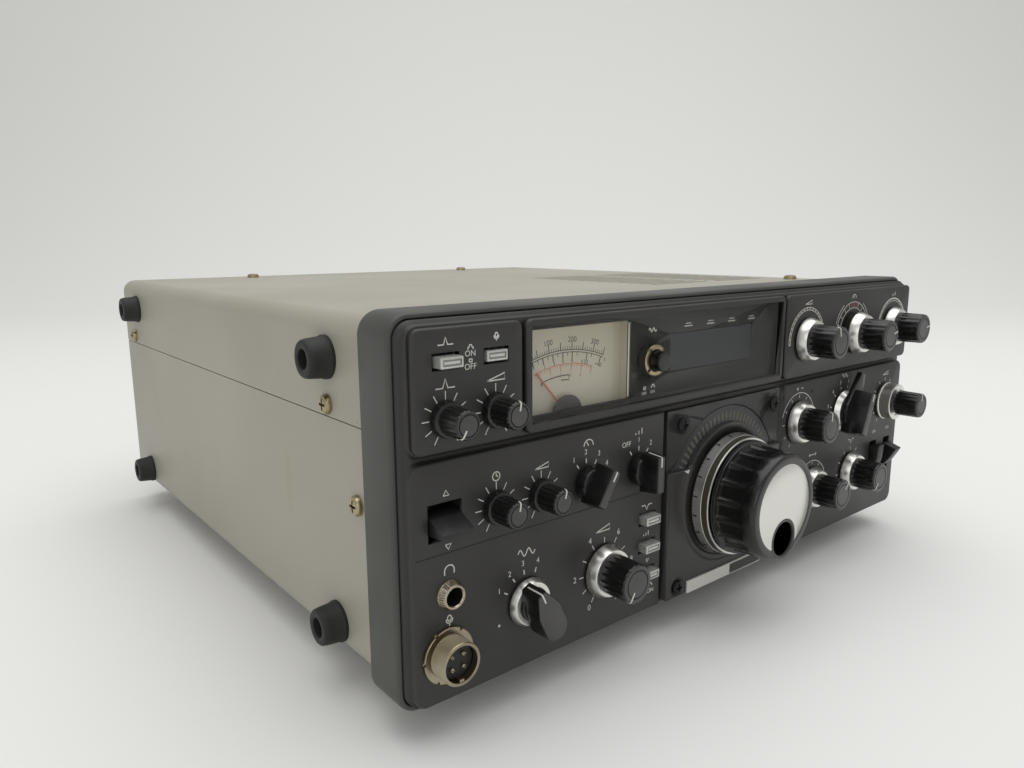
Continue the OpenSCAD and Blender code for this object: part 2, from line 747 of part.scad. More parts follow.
module slot_rows(middle, first_y, count, z) for (i = [0:count - 1], s = [-1, 1])
    translate([middle + s * (vent_slot_l / 2 + vent_pitch / 2), first_y + i * vent_pitch, z])
        cube([vent_slot_l, vent_slot_w, 3 * cover_t], center = true);

module screw_holes_side() for (s = side_screws) translate([0, s[0], s[1]]) rotate([0, 90, 0])
    cylinder(h = 2 * cover_half + 2 * cut, d = screw_hole_d, center = true);

module screw_holes_top() for (s = top_screws) translate([s[0], s[1], chassis_high])
    cylinder(h = frame_h, d = screw_hole_d);

module top_cover() color("#b4b2a6") difference() {
    cover_shell();
    block(-frame_w, frame_w, 0, case_depth + cut, -cut, seam_h + seam_gap / 2);
    slot_rows(cover_half - vent_side, vent_start, vent_count, cover_top - cover_t / 2);
    screw_holes_side();
    screw_holes_top();
}

module bottom_cover() color("#a9a79b") difference() {
    cover_shell();
    block(-frame_w, frame_w, 0, case_depth + cut, seam_h - seam_gap / 2, frame_h + cut);
    slot_rows(speaker_p[0], speaker_p[1] - (grille_count - 1) * vent_pitch / 2, grille_count,
        cover_bottom + cover_t / 2);
    screw_holes_side();
    for (x = [-foot_x, foot_x], y = foot_y) translate([x, y, cover_bottom + cover_t / 2])
        cylinder(h = 3 * cover_t, d = screw_hole_d, center = true);
}

module front_frame() color("#4c4c4a") difference() {
    slab(-frame_w / 2, frame_w / 2, 0, frame_h, frame_corner_r, 0, frame_depth);
    slab(panel_left - panel_gap, panel_right + panel_gap, frame_rim, frame_h - frame_rim,
        frame_corner_r - frame_rim, -cut, panel_seat);
    slab(-cover_half - cover_gap, cover_half + cover_gap, cover_bottom - cover_gap, cover_top + cover_gap,
        cover_corner_r + cover_gap, panel_seat - cut, frame_depth + cut);
}

module chassis() color("#9a9a96") difference() {
    union() {
        block(-inner_half, inner_half, plate_front, plate_rear, chassis_low, chassis_high);
        block(-inner_half, inner_half, plate_front, rear_y, deck_h, deck_top);
        for (s = [0, 1]) mirror([s, 0, 0])
            block(inner_half - sheet_t, inner_half, plate_front, rear_y, chassis_low, chassis_high);
        for (x = [-top_screw_x, top_screw_x])
            block(x - rail_w / 2, x + rail_w / 2, plate_front, rear_y, rail_top - sheet_t, rail_top);
        block(-top_screw_x - rail_w / 2, top_screw_front[0] + rail_w / 2, plate_front, plate_rear,
            chassis_high - cut, rail_top);
        block(top_screw_front[0] - rail_w / 2, top_screw_front[0] + rail_w / 2, plate_front,
            top_screw_front[1] + rail_w / 2, rail_top - sheet_t, rail_top);
    }
    for (p = shaft_places) at(p) turned(plate_rear + cut, plate_front - cut, bush_hole_d, bush_hole_d);
    at(gain_p) turned(plate_rear + cut, plate_front - cut, gain_hole_d, gain_hole_d);
    for (p = key_places) block_at(p, key_hole_w, key_hole_h, plate_front - cut, plate_rear + cut);
    at(calibrator_p) turned(plate_rear + cut, plate_front - cut, bush_hole_d + 3, bush_hole_d + 3);
    at(phones_p) turned(plate_rear + cut, plate_front - cut, phones_nut_d, phones_nut_d);
    at(mic_p) turned(plate_rear + cut, plate_front - cut, mic_barrel_d + 1, mic_barrel_d + 1);
    at(tuning_p) turned(plate_rear + cut, plate_front - cut, sub_dial_hub_d + 1, sub_dial_hub_d + 1);
    block(meter_x0 - meter_wall - cut, meter_x1 + meter_wall + cut, plate_front - cut, plate_rear + cut,
        meter_z0 - meter_foot - cut, meter_z1 + meter_wall + cut);
    block_at(readout_p, readout_w + 2, readout_h + 2, plate_front - cut, plate_rear + cut);
    translate([speaker_p[0], speaker_p[1], deck_h - cut]) cylinder(h = sheet_t + 2 * cut, d = speaker_d - 8);
    screw_holes_side();
    screw_holes_top();
}

module rear_panel() color("#8f8f8a") difference() {
    slab(-inner_half + cover_gap, inner_half - cover_gap, cover_bottom + cover_t + cover_gap,
        cover_top - cover_t - cover_gap, cover_corner_r - cover_t, rear_y, rear_face);
    at(fan_p) difference() {
        turned(rear_face + cut, rear_y - cut, fan_size - 6, fan_size - 6);
        for (r = [8:10:fan_size / 2]) difference() {
            turned(rear_face + 2 * cut, rear_y - 2 * cut, 2 * r + 4, 2 * r + 4);
            if (r > 8) turned(rear_face + 3 * cut, rear_y - 3 * cut, 2 * r, 2 * r);
        }
        for (a = [45, 135]) rotate([0, a, 0])
            block(-2, 2, rear_y - 2 * cut, rear_face + 2 * cut, -fan_size, fan_size);
    }
    at(antenna_p) turned(rear_face + cut, rear_y - cut, antenna_d - 2, antenna_d - 2);
    at(earth_p) turned(rear_face + cut, rear_y - cut, earth_d + 0.4, earth_d + 0.4);
    block_at(inlet_p, 28, 20, rear_y - cut, rear_face + cut);
    at(fuse_p) turned(rear_face + cut, rear_y - cut, 12, 12);
    at(remote_p) turned(rear_face + cut, rear_y - cut, 16, 16);
}

// Front panel and what lies on it

module lever_slots(y0, y1) {
    block_at(standby_p, standby_w + 2 * button_gap, standby_slot_h, y0, y1);
    for (p = [heater_p, power_p]) block_at(p, rocker_w + 2 * button_gap, rocker_slot_h, y0, y1);
}

module cross_pin(l, d) rotate([0, 90, 0]) cylinder(h = l, d = d, center = true);

module lever_bore(p, w) translate([p[0], lever_pivot - lower_face, p[1]])
    cross_pin(w + 2 * (button_gap + lever_pin_end + shaft_gap), lever_pin_d + 2 * shaft_gap);

module front_panel() color("#3a3937") difference() {
    union() {
        difference() {
            slab(panel_left, panel_right, panel_bottom, panel_top, panel_corner_r, -panel_base, panel_seat);
            slab(panel_left + panel_wall, panel_right - panel_wall, panel_bottom + panel_wall,
                panel_top - panel_wall, panel_corner_r - panel_wall / 2, plate_back, panel_seat + cut);
        }
        slab(panel_left + tier_edge, panel_right - tier_edge, panel_bottom + tier_edge, lower_top,
            panel_corner_r - tier_edge, -lower_face, -panel_base);
        slab(panel_left + tier_edge, panel_right - tier_edge, bed_bottom, bed_top,
            panel_corner_r - tier_edge, -upper_bed, -panel_base);
        for (x = [panel_left + 9, panel_right - 9], z = [panel_bottom + 8, tier_h])
            at([x, z]) turned(plate_front, plate_back, 5, 5);
    }
    block(-escutcheon_half - escutcheon_gap, escutcheon_half + escutcheon_gap, -lower_face - cut, -panel_base,
        -cut, lower_top + cut);
    at(tuning_p) turned(plate_back + cut, -panel_base - cut, sub_dial_hub_d + 1, sub_dial_hub_d + 1);
    at(tuning_p) turned(sub_dial_y + sub_dial_t + button_gap, -lower_face, 2 * dial_bay_r, 2 * dial_bay_r);
    block(window_left, window_right, -upper_bed - cut, window_back, window_bottom, window_top);
    block(meter_x0, meter_x1, window_back - cut, plate_back + cut, meter_z0, meter_z1);
    block_at(readout_p, readout_w, readout_h, window_back - cut, plate_back + cut);
    at(calibrator_p) turned(plate_back + cut, window_back - cut, bush_hole_d + 3, bush_hole_d + 3);
    for (p = shaft_places) at(p) turned(plate_back + cut, -lower_face - cut, bush_hole_d, bush_hole_d);
    at(gain_p) turned(plate_back + cut, -lower_face - cut, gain_hole_d, gain_hole_d);
    for (p = key_places) block_at(p, key_hole_w, key_hole_h, -lower_face - cut, plate_back + cut);
    lever_slots(-lower_face - cut, plate_back + cut);
    lever_bore(standby_p, standby_w);
    for (p = [heater_p, power_p]) lever_bore(p, rocker_w);
    at(phones_p) turned(plate_back + cut, -lower_face - cut, phones_nut_d - 2, phones_nut_d - 2);
    at(mic_p) turned(plate_back + cut, -lower_face - cut, mic_barrel_d + 0.4, mic_barrel_d + 0.4);
}

module upper_left_plate() color("#403f3d") difference() {
    slab(plates_left, display_left - plate_gap, plates_bottom, plates_top, plate_corner_r,
        -upper_face, -upper_bed);
    for (p = upper_pots) at(p) turned(-upper_bed + cut, -upper_face - cut, bush_hole_d, bush_hole_d);
    for (p = [blanker_button_p, vox_button_p])
        block_at(p, key_hole_w, key_hole_h, -upper_face - cut, -upper_bed + cut);
}

module upper_right_plate() color("#403f3d") difference() {
    slab(display_right + plate_gap, plates_right, plates_bottom, plates_top, plate_corner_r,
        -upper_face, -upper_bed);
    for (p = upper_capacitors) at(p) turned(-upper_bed + cut, -upper_face - cut, bush_hole_d, bush_hole_d);
}

module display_frame() color("#403f3d") difference() {
    slab(display_left, display_right, plates_bottom, plates_top, plate_corner_r, -upper_face, -upper_bed);
    block(window_left, window_right, -upper_face - cut, -upper_bed + cut, window_bottom, window_top);
}

module display_window() color("#2b2d30", 0.6) difference() {
    block(window_left, window_right, window_y, window_back, window_bottom, window_top);
    at(calibrator_p) turned(window_back + cut, window_y - cut, bush_hole_d + 1, bush_hole_d + 1);
}

module meter_case() color("#d8d4c4") difference() {
    block(meter_x0 - meter_wall, meter_x1 + meter_wall, plate_back, plate_back + meter_depth,
        meter_z0 - meter_foot, meter_z1 + meter_wall);
    block(meter_x0, meter_x1, plate_back - cut, scale_back, meter_low, meter_z1);
    block(needle_p[0] - movement_w / 2, needle_p[0] + movement_w / 2, plate_back, scale_back + movement_t,
        meter_low, meter_low + movement_w / 2);
    at(needle_p) turned(scale_back + 2 * movement_t, plate_back, pivot_bore_d, pivot_bore_d);
}

module meter_scale() color("#e6dfc8") difference() {
    block(meter_x0, meter_x1, scale_y, scale_back, meter_low, meter_z1);
    at(needle_p) turned(scale_back + cut, scale_y - cut, 2 * pivot_d, 2 * pivot_d);
}

module meter_needle() color("#c03428") at(needle_p) {
    turned(scale_back + pivot_l, needle_y - needle_w, pivot_d, pivot_d);
    turned(needle_y + needle_w / 2, needle_y - needle_w / 2, 2.5 * pivot_d, 2.5 * pivot_d);
    rotate([0, -needle_rest, 0])
        block(-needle_w / 2, needle_w / 2, needle_y - needle_w / 3, needle_y + needle_w / 3, 0, needle_l);
}

module tuning_escutcheon() color("#333230") difference() {
    union() {
        block(-escutcheon_half, escutcheon_half, -escutcheon_face, -panel_base,
            escutcheon_low, escutcheon_top);
        at(tuning_p) difference() {
            turned(-escutcheon_face, -escutcheon_face - dial_lip_h, 2 * dial_lip_r, 2 * dial_lip_r);
            turned(cut, -escutcheon_face - dial_lip_h - cut, dial_well_d, dial_well_d);
        }
    }
    difference() {
        block(-escutcheon_half - cut, escutcheon_half + cut, -escutcheon_face - cut, dial_bay_y,
            dial_split, escutcheon_top + cut);
        at(tuning_p) turned(0, -tuning_face, 2 * dial_lip_r, 2 * dial_lip_r);
    }
    at(tuning_p) turned(cut, dial_bay_y, 2 * dial_bay_r, 2 * dial_bay_r);
    at(tuning_p) turned(cut, -escutcheon_face - cut, sub_dial_hub_d + 3, sub_dial_hub_d + 3);
}

module dial_window() color("#3c4044", 0.6) difference() {
    block(-escutcheon_half, escutcheon_half, -escutcheon_face, dial_bay_y, dial_split, escutcheon_top);
    at(tuning_p) turned(0, -tuning_face, 2 * dial_lip_r, 2 * dial_lip_r);
}

// Feet, handle and fasteners

module rubber_foot(h, d0, d1, hole) difference() {
    cylinder(h = h, d1 = d0, d2 = d1);
    translate([0, 0, h * 0.45]) cylinder(h = h, d = hole);
}

module side_feet() color("#161616") for (y = side_foot_y, z = side_foot_z)
    translate([-cover_half, y, z]) rotate([0, -90, 0])
        rubber_foot(side_foot_h, side_foot_d, side_foot_end_d, side_foot_hole_d);

module bottom_feet() color("#1b1b1b") for (x = [-foot_x, foot_x], y = foot_y)
    translate([x, y, cover_bottom]) rotate([180, 0, 0]) rubber_foot(foot_h, foot_d, foot_d - 3, 9);

module carry_handle() color("#222222") translate([cover_half, handle_y, handle_h]) {
    for (s = [-1, 1]) translate([0, s * (handle_l - handle_end_l) / 2, 0])
        translate([0, -handle_end_l / 2, -handle_w / 2]) cube([handle_block, handle_end_l, handle_w]);
    translate([handle_block, -handle_l / 2, -handle_w / 2]) cube([handle_t, handle_l, handle_w]);
}

module pan_screw(shank) {
    rotate([180, 0, 0]) cylinder(h = shank, d = screw_shank_d);
    cylinder(h = screw_head_h / 2, d = screw_head_d);
    translate([0, 0, screw_head_h / 2])
        cylinder(h = screw_head_h / 2, d1 = screw_head_d, d2 = screw_head_d * 0.6);
}

module screws() color("#9c8f70") {
    for (m = [0, 1], s = side_screws) mirror([m, 0, 0])
        translate([cover_half, s[0], s[1]]) rotate([0, 90, 0]) pan_screw(screw_l);
    for (s = top_screws) translate([s[0], s[1], cover_top]) pan_screw(screw_l);
    for (x = [-1, 1], z = escutcheon_screw_z)
        translate([x * escutcheon_screw_x, -escutcheon_face, z]) rotate([90, 0, 0])
            cylinder(h = small_screw_h, d = small_screw_d);
}

// Sockets

module phones_jack() color("#a39a86") at(phones_p) difference() {
    union() {
        turned(-lower_face, -lower_face - phones_nut_t, phones_nut_d, phones_nut_d - phones_nut_cone);
        turned(plate_rear, -lower_face, phones_nut_d - 2.4, phones_nut_d - 2.4);
        block_at([0, 0], phones_body_w, phones_body_h, plate_rear, phones_bore_l - lower_face + 4);
    }
    turned(phones_bore_l - lower_face - phones_nut_t, -lower_face - phones_nut_t - cut,
        phones_bore_d, phones_bore_d);
}

module mic_connector() color("#b0a68e") at(mic_p) {
    difference() {
        union() {
            turned(plate_rear + 4, -lower_face - mic_reach, mic_barrel_d, mic_barrel_d);
            turned(-lower_face, -lower_face - mic_flange_t, mic_flange_d, mic_flange_d);
        }
        turned(-lower_face + 1, -lower_face - mic_reach - cut, mic_bore_d, mic_bore_d);
    }
    for (a = [45:90:315]) rotate([0, a, 0]) translate([mic_pin_circle / 2, 0, 0])
        turned(-lower_face + 1, -lower_face - mic_reach + 2, mic_pin_d, mic_pin_d);
}

module rear_sockets() color("#8d8d88") {
    at(antenna_p) difference() {
        union() {
            turned(rear_face + 2, rear_face, antenna_flange_d, antenna_flange_d);
            turned(rear_face + antenna_reach, rear_face + 2, antenna_d, antenna_d);
            turned(rear_face, rear_y - antenna_neck, antenna_d - 3, antenna_d - 3);
        }
        turned(rear_face + antenna_reach + cut, rear_face + 3, antenna_d - 4, antenna_d - 4);
    }
    at(antenna_p) difference() {
        turned(rear_face + antenna_reach - 2, rear_face + 3, 7, 7);
        turned(rear_face + antenna_reach, rear_face + 4, 3.9, 3.9);
    }
    at(earth_p) turned(rear_face + antenna_reach - 2, rear_y - 6, earth_d, earth_d);
    at(earth_p) difference() {
        turned(rear_face + 2.5, rear_face, 10, 10);
        turned(rear_face + 3, rear_face - cut, earth_d + 0.1, earth_d + 0.1);
    }
    difference() {
        union() {
            block_at(inlet_p, 34, 26, rear_face, rear_face + 2);
            block_at(inlet_p, 27.6, 19.6, rear_y - 18, rear_face);
        }
        block_at(inlet_p, 24, 16, rear_y - 14, rear_face + 2 + cut);
    }
    for (x = [-6, 0, 6]) block(inlet_p[0] + x - 1, inlet_p[0] + x + 1, rear_y - 14, rear_y - 5,
        inlet_p[1] - 2, inlet_p[1] + 2);
    at(fuse_p) {
        turned(rear_face + 8, rear_face, 15, 17);
        turned(rear_face, rear_y - 24, 11.8, 11.8);
    }
    at(remote_p) difference() {
        union() {
            turned(rear_face + 2, rear_face, 22, 22);
            turned(rear_face, rear_y - 10, 15.6, 15.6);
        }
        turned(rear_face + 2 + cut, rear_y - 6, 13, 13);
    }
}

// Inside

module shaft_bush(p, face) at(p) turned(plate_rear, -face + 1.5, bush_d, bush_d);
module shaft_bore(p, face) at(p) turned(shaft_end + 0.5, -face, shaft_bore_d, shaft_bore_d);

module control(p, face, d, l) difference() {
    union() {
        at(p) turned(plate_rear + l, plate_rear, d, d);
        shaft_bush(p, face);
    }
    shaft_bore(p, face);
}

module capacitor(p) difference() {
    union() {
        block_at(p, capacitor_w, capacitor_w, plate_rear, plate_rear + capacitor_l);
        shaft_bush(p, upper_face);
    }
    shaft_bore(p, upper_face);
}

module key_switch(p) difference() {
    block_at(p, 11, 7, plate_rear, plate_rear + 20);
    at(p) turned(plate_rear + 18, plate_rear - cut, stem_bore_d, stem_bore_d);
}

// Two shafts in one bush, for the outer and the inner gain knob
module gain_control() difference() {
    at(gain_p) {
        turned(plate_rear + 2 * pot_l, plate_rear, pot_d, pot_d);
        turned(plate_rear, -lower_face + 1.5, gain_bush_d, gain_bush_d);
    }
    at(gain_p) turned(plate_rear + 3.5, -lower_face, sleeve_d + 2 * shaft_gap, sleeve_d + 2 * shaft_gap);
    shaft_bore(gain_p, lower_face);
}

module control_bodies() color("#77766f") {
    gain_control();
    for (p = upper_pots) control(p, upper_face, pot_d, pot_l);
    for (p = lower_pots) control(p, lower_face, pot_d, pot_l);
    for (p = lower_wafers) control(p, lower_face, wafer_d, wafer_l);
    for (p = upper_capacitors) capacitor(p);
    for (p = key_places) key_switch(p);
    at(calibrator_p) difference() {
        union() {
            turned(window_y, window_y - ring_nut_t, ring_nut_d, ring_nut_d);
            turned(plate_rear + 18, window_y, bush_hole_d + 0.6, bush_hole_d + 0.6);
        }
        turned(plate_rear + 10, window_y - ring_nut_t - cut, round_button_d + 2 * button_gap,
            round_button_d + 2 * button_gap);
        turned(plate_rear + 17, plate_rear + 9, stem_bore_d, stem_bore_d);
    }
    difference() {
        block_at(readout_p, readout_w, readout_h, window_back + 1, plate_rear + 6);
        block_at(readout_p, readout_w - 4, readout_h - 4, window_back, window_back + 3);
    }
}

module tuning_unit() color("#8a8a84") {
    difference() {
        union() {
            block(-tuning_unit_size[0] / 2, tuning_unit_size[0] / 2, plate_rear,
                plate_rear + tuning_unit_size[1], deck_top, deck_top + tuning_unit_size[2]);
            at(tuning_p) turned(plate_rear, sub_dial_y, sub_dial_hub_d, sub_dial_hub_d);
        }
        at(tuning_p) turned(shaft_end + 0.5, -tuning_face, shaft_bore_d, shaft_bore_d);
    }
}

module board(x0, x1, y0, y1, z, cans) {
    block(x0, x1, y0, y1, z, z + sheet_t);
    for (x = [x0 + can_w / 2, x1 - can_w / 2], y = [y0 + can_w / 2, y1 - can_w / 2])
        translate([x, y, deck_top]) cylinder(h = z - deck_top, d = can_w / 2);
    for (i = [0:cans - 1], j = [0:2])
        translate([x0 + can_w + i * (x1 - x0 - 2 * can_w) / cans,
            y0 + 1.5 * can_w + j * (y1 - y0 - 3 * can_w) / 3, z + sheet_t])
            cube([can_w, can_w, can_h + can_w / 5 * ((i + j) % 3)]);
}

module circuit_boards() color("#55683f") {
    board(-inner_half + board_clear, board_split - inside_gap / 2, speaker_p[1] + speaker_d / 2 + inside_gap,
        rear_y - transformer_rear - transformer_size[1] - inside_gap, board_h, 6);
    board(board_split + inside_gap / 2, cage_x1 - cage_w - 2 * inside_gap,
        plate_rear + tuning_unit_size[1] + inside_gap, rear_y - cage_l, board_h, 5);
}

module power_transformer() color("#6f5f4a") 
    translate([-inner_half + sheet_t + 6, rear_y - transformer_rear - transformer_size[1], deck_top]) {
    cube([transformer_size[0], transformer_size[1], transformer_size[2] - coil_h]);
    translate([coil_h, coil_h, transformer_size[2] - coil_h])
        cube([transformer_size[0] - 2 * coil_h, transformer_size[1] - 2 * coil_h, coil_h]);
}

module output_cage() color("#a5a5a0") difference() {
    block(cage_x1 - cage_w, cage_x1, cage_y1 - cage_l, cage_y1, deck_top, cage_h);
    block(cage_x1 - cage_w + 1, cage_x1 - 1, cage_y1 - cage_l + 1, cage_y1 - 1, deck_top - cut, cage_h - 1);
    at(fan_p) turned(cage_y1 + cut, cage_y1 - 1 - cut, fan_size - fan_wall, fan_size - fan_wall);
    for (i = [0:9]) block(cage_x1 - cage_w + 8, cage_x1 - 8, cage_y1 - cage_l + 10 + 8 * i,
        cage_y1 - cage_l + 13 + 8 * i, cage_h - 1 - cut, cage_h + cut);
}

module output_tubes() color("#cfd8d6", 0.5) for (x = tube_x)
    translate([x, cage_y1 - cage_l * 0.5, deck_top]) {
        cylinder(h = tube_base_h, d = tube_d - 6);
        translate([0, 0, tube_base_h]) cylinder(h = tube_h - tube_base_h - tube_dome_h, d = tube_d);
        translate([0, 0, tube_h - tube_dome_h]) cylinder(h = tube_dome_h, d1 = tube_d, d2 = tube_d * 0.5);
    }

module fan_frame() color("#262626") at(fan_p) {
    difference() {
        block(-fan_size / 2, fan_size / 2, rear_y - fan_depth, rear_y, -fan_size / 2, fan_size / 2);
        turned(rear_y + cut, rear_y - fan_depth - cut, fan_size - fan_wall, fan_size - fan_wall);
    }
    difference() {
        union() {
            turned(rear_y - fan_depth + fan_hub_t, rear_y - fan_depth, fan_hub_d, fan_hub_d);
            turned(rear_y - fan_depth + fan_boss_l, rear_y - fan_depth + fan_hub_t, fan_boss_d, fan_boss_d);
            for (a = [0, 90]) rotate([0, a, 0])
                block(-2, 2, rear_y - fan_depth, rear_y - fan_depth + 3, -fan_size / 2 + 2, fan_size / 2 - 2);
        }
        turned(rear_y, rear_y - fan_depth + 2, 3 + 2 * shaft_gap, 3 + 2 * shaft_gap);
    }
}

module fan_rotor() color("#1c1c1c") at(fan_p) {
    blade_y = rear_y - fan_depth + 13;
    turned(rear_y - 4, rear_y - fan_depth + 3, 3, 3);
    difference() {
        turned(rear_y - 3, rear_y - fan_depth + 6, 34, 34);
        turned(rear_y - 5, rear_y - fan_depth + 5, 30, 30);
    }
    intersection() {
        for (a = [0:72:288]) rotate([0, a, 0]) translate([0, blade_y, 0]) rotate([0, 0, 35])
            block(-13, 13, -0.8, 0.8, 16.5, fan_size / 2);
        difference() {
            turned(rear_y - 3, rear_y - fan_depth + 6, rotor_d, rotor_d);
            turned(rear_y, rear_y - fan_depth, 33, 33);
        }
    }
}

module speaker() color("#30302e") translate([speaker_p[0], speaker_p[1], deck_top]) {
    difference() {
        cylinder(h = 2, d = speaker_d);
        translate([0, 0, -cut]) cylinder(h = 2 + 2 * cut, d = speaker_d - 16);
    }
    translate([0, 0, 2]) cylinder(h = speaker_h - 14, d1 = speaker_d - 8, d2 = 40);
    translate([0, 0, speaker_h - 12]) cylinder(h = 12, d = 44);
}

// Controls

module key(p, face, out) at(p) {
    block_at([0, 0], button_w, button_h, -face - out, plate_front - button_travel - 1);
    turned(plate_rear + 10, plate_front - button_travel - 1, stem_d, stem_d);
}

module blanker_button() color("#c9c7bd") key(blanker_button_p, upper_face, button_out);
module vox_button() color("#c9c7bd") key(vox_button_p, upper_face, button_out - button_travel);
module narrow_button() color("#c9c7bd") key(column_p[2], lower_face, button_out);
module processor_button() color("#c9c7bd") key(column_p[1], lower_face, button_out);
module attenuator_button() color("#c9c7bd") key(column_p[0], lower_face, button_out);

module calibrator_button() color("#1a1a19") at(calibrator_p) {
    turned(plate_rear + 9.5 - button_travel, window_y - round_button_out, round_button_d, round_button_d);
    turned(plate_rear + 13, plate_rear + 9.5 - button_travel, stem_d, stem_d);
}

// A groove across the front of a knob that shows where it points
module pointer(front, r0, r1) block(-pointer_w / 2, pointer_w / 2, front - cut, front + mark_depth, r0, r1);

module shaft(face) turned(shaft_end + face, -knob_gap - cut, shaft_d, shaft_d);

module small_knob(p, face, angle) at(p) translate([0, -face, 0]) rotate([0, angle, 0]) {
    difference() {
        union() {
            shaft(face);
            turned(-knob_gap, -knob_gap - small_skirt_t, small_skirt_d, small_skirt_d - 0.6);
            deep(-small_reach, -knob_gap - small_skirt_t) fluted(small_grip_d, grip_grooves, groove_depth);
        }
        pointer(-small_reach, 0.8, small_grip_d / 2 - 0.5);
    }
}

module metal_ring(d0, d1, t, bore) difference() {
    turned(-knob_gap, -knob_gap - t, d0, d1);
    turned(cut, -knob_gap - t - cut, bore, bore);
}

module ring_knob(p, face, angle) at(p) translate([0, -face, 0]) rotate([0, angle, 0]) {
    metal_ring(ring_d, ring_front_d, ring_t - ring_seat, large_grip_d - 2 + 2 * ring_seat);
    difference() {
        union() {
            shaft(face);
            turned(-knob_gap, -knob_gap - ring_t, large_grip_d - 2, large_grip_d - 2);
            deep(-large_reach, -knob_gap - ring_t) fluted(large_grip_d, grip_grooves, groove_depth);
        }
        pointer(-large_reach, 2, large_grip_d / 2 - 0.8);
    }
}

// A bar that narrows towards its front, set on a round base
module bar_knob(p, l, w, reach, angle) at(p) translate([0, -lower_face, 0]) rotate([0, angle, 0]) {
    back = knob_gap + mode_ring_t + ring_seat;
    front_w = w * bar_taper;
    front_l = l - bar_draft;
    difference() {
        union() {
            shaft(lower_face);
            turned(-knob_gap, -knob_gap - bar_base_t, bar_base_d, bar_base_d - 1);
            intersection() {
                translate([0, 0, -l]) linear_extrude(2 * l)
                    polygon([[-w / 2, -back], [w / 2, -back], [front_w / 2, -reach], [-front_w / 2, -reach]]);
                translate([-w, 0, 0]) rotate([90, 0, 90]) linear_extrude(2 * w)
                    polygon([[-back, -l / 2], [-back, l / 2], [-reach, front_l / 2], [-reach, -front_l / 2]]);
            }
        }
        pointer(-reach, l / 2 - 4, l / 2 + cut);
    }
}

module blanker_level_knob() color("#1f1e1d") small_knob(blanker_level_p, upper_face, -150);
module vox_gain_knob() color("#1f1e1d") small_knob(vox_gain_p, upper_face, 10);
module vox_delay_knob() color("#1f1e1d") small_knob(vox_delay_p, lower_face, 10);
module carrier_knob() color("#1f1e1d") small_knob(carrier_p, lower_face, 15);
module mic_gain_knob() color("#1f1e1d") ring_knob(mic_gain_p, lower_face, -150);
module load_knob() color("#1f1e1d") ring_knob(load_p, upper_face, -15);
module plate_knob() color("#1f1e1d") {
    ring_knob(plate_p, upper_face + plate_disc_t, 75);
    at(plate_p) turned(-upper_face - knob_gap, -upper_face - plate_disc_t - knob_gap, ring_d - 1.2, ring_d - 1.2);
}
module drive_knob() color("#1f1e1d") ring_knob(drive_p, upper_face, 80);
module rit_knob() color("#1f1e1d") ring_knob(rit_p, lower_face, 0);
module shift_knob() color("#1f1e1d") ring_knob(shift_p, lower_face, 40);
module notch_knob() color("#1f1e1d") ring_knob(notch_p, lower_face, -140);
module meter_switch_knob() color("#1f1e1d") bar_knob(meter_switch_p, bar_l, bar_w, bar_reach, 32);
module agc_switch_knob() color("#1f1e1d") bar_knob(agc_switch_p, bar_l, bar_w, bar_reach, 0);

module band_switch_knob() color("#1f1e1d") {
    bar_knob(band_p, band_bar_l, band_bar_w, band_reach, 21);
    at(band_p) translate([0, -lower_face, 0]) rotate([0, 21, 0]) {
        metal_ring(ring_d, ring_front_d, mode_ring_t, bar_base_d + 2 * ring_seat);
        deep(-band_plate_reach, -knob_gap - mode_ring_t - ring_seat) hull() {
            circle(d = band_plate_d);
            translate([-mode_tip_w / 2, 0]) square([mode_tip_w, band_nose]);
        }
    }
}

module mode_switch_knob() color("#1f1e1d") at(mode_p) translate([0, -lower_face, 0]) rotate([0, -26, 0]) {
    metal_ring(mode_ring_d, mode_ring_d - 2.5, mode_ring_t, bar_base_d + 2 * ring_seat);
    difference() {
        union() {
            shaft(lower_face);
            turned(-knob_gap, -knob_gap - bar_base_t, bar_base_d, bar_base_d - 1);
            deep(-mode_reach, -knob_gap - mode_ring_t - ring_seat) hull() {
                for (z = [0, mode_w / 2 - mode_tail]) translate([0, z]) circle(d = mode_w);
                translate([-mode_tip_w / 2, 0]) square([mode_tip_w, mode_tip]);
            }
        }
        pointer(-mode_reach, mode_tip - 4, mode_tip + cut);
    }
}

module rf_gain_ring() color("#b9bcbd") at(gain_p) translate([0, -lower_face, 0]) difference() {
    union() {
        turned(-knob_gap, -gain_ring_reach, gain_ring_d, gain_ring_d);
        turned(plate_rear + 3 + lower_face, -knob_gap - cut, sleeve_d, sleeve_d);
    }
    turned(shaft_end + lower_face, -gain_ring_reach - cut, shaft_d + 2 * bush_gap, shaft_d + 2 * bush_gap);
    block(-pointer_w / 2, pointer_w / 2, -gain_ring_reach - cut, -knob_gap - cut,
        gain_ring_d / 2 - mark_depth, gain_ring_d);
}

module af_gain_knob() color("#1f1e1d") at(gain_p) translate([0, -lower_face, 0]) {
    difference() {
        union() {
            shaft(lower_face);
            turned(0, -gain_ring_reach - 2, shaft_d, shaft_d);
            deep(-gain_inner_reach, -gain_ring_reach - knob_gap)
                fluted(gain_inner_d, grip_grooves, groove_depth);
        }
        pointer(-gain_inner_reach, 2, gain_inner_d / 2 - 0.8);
    }
}

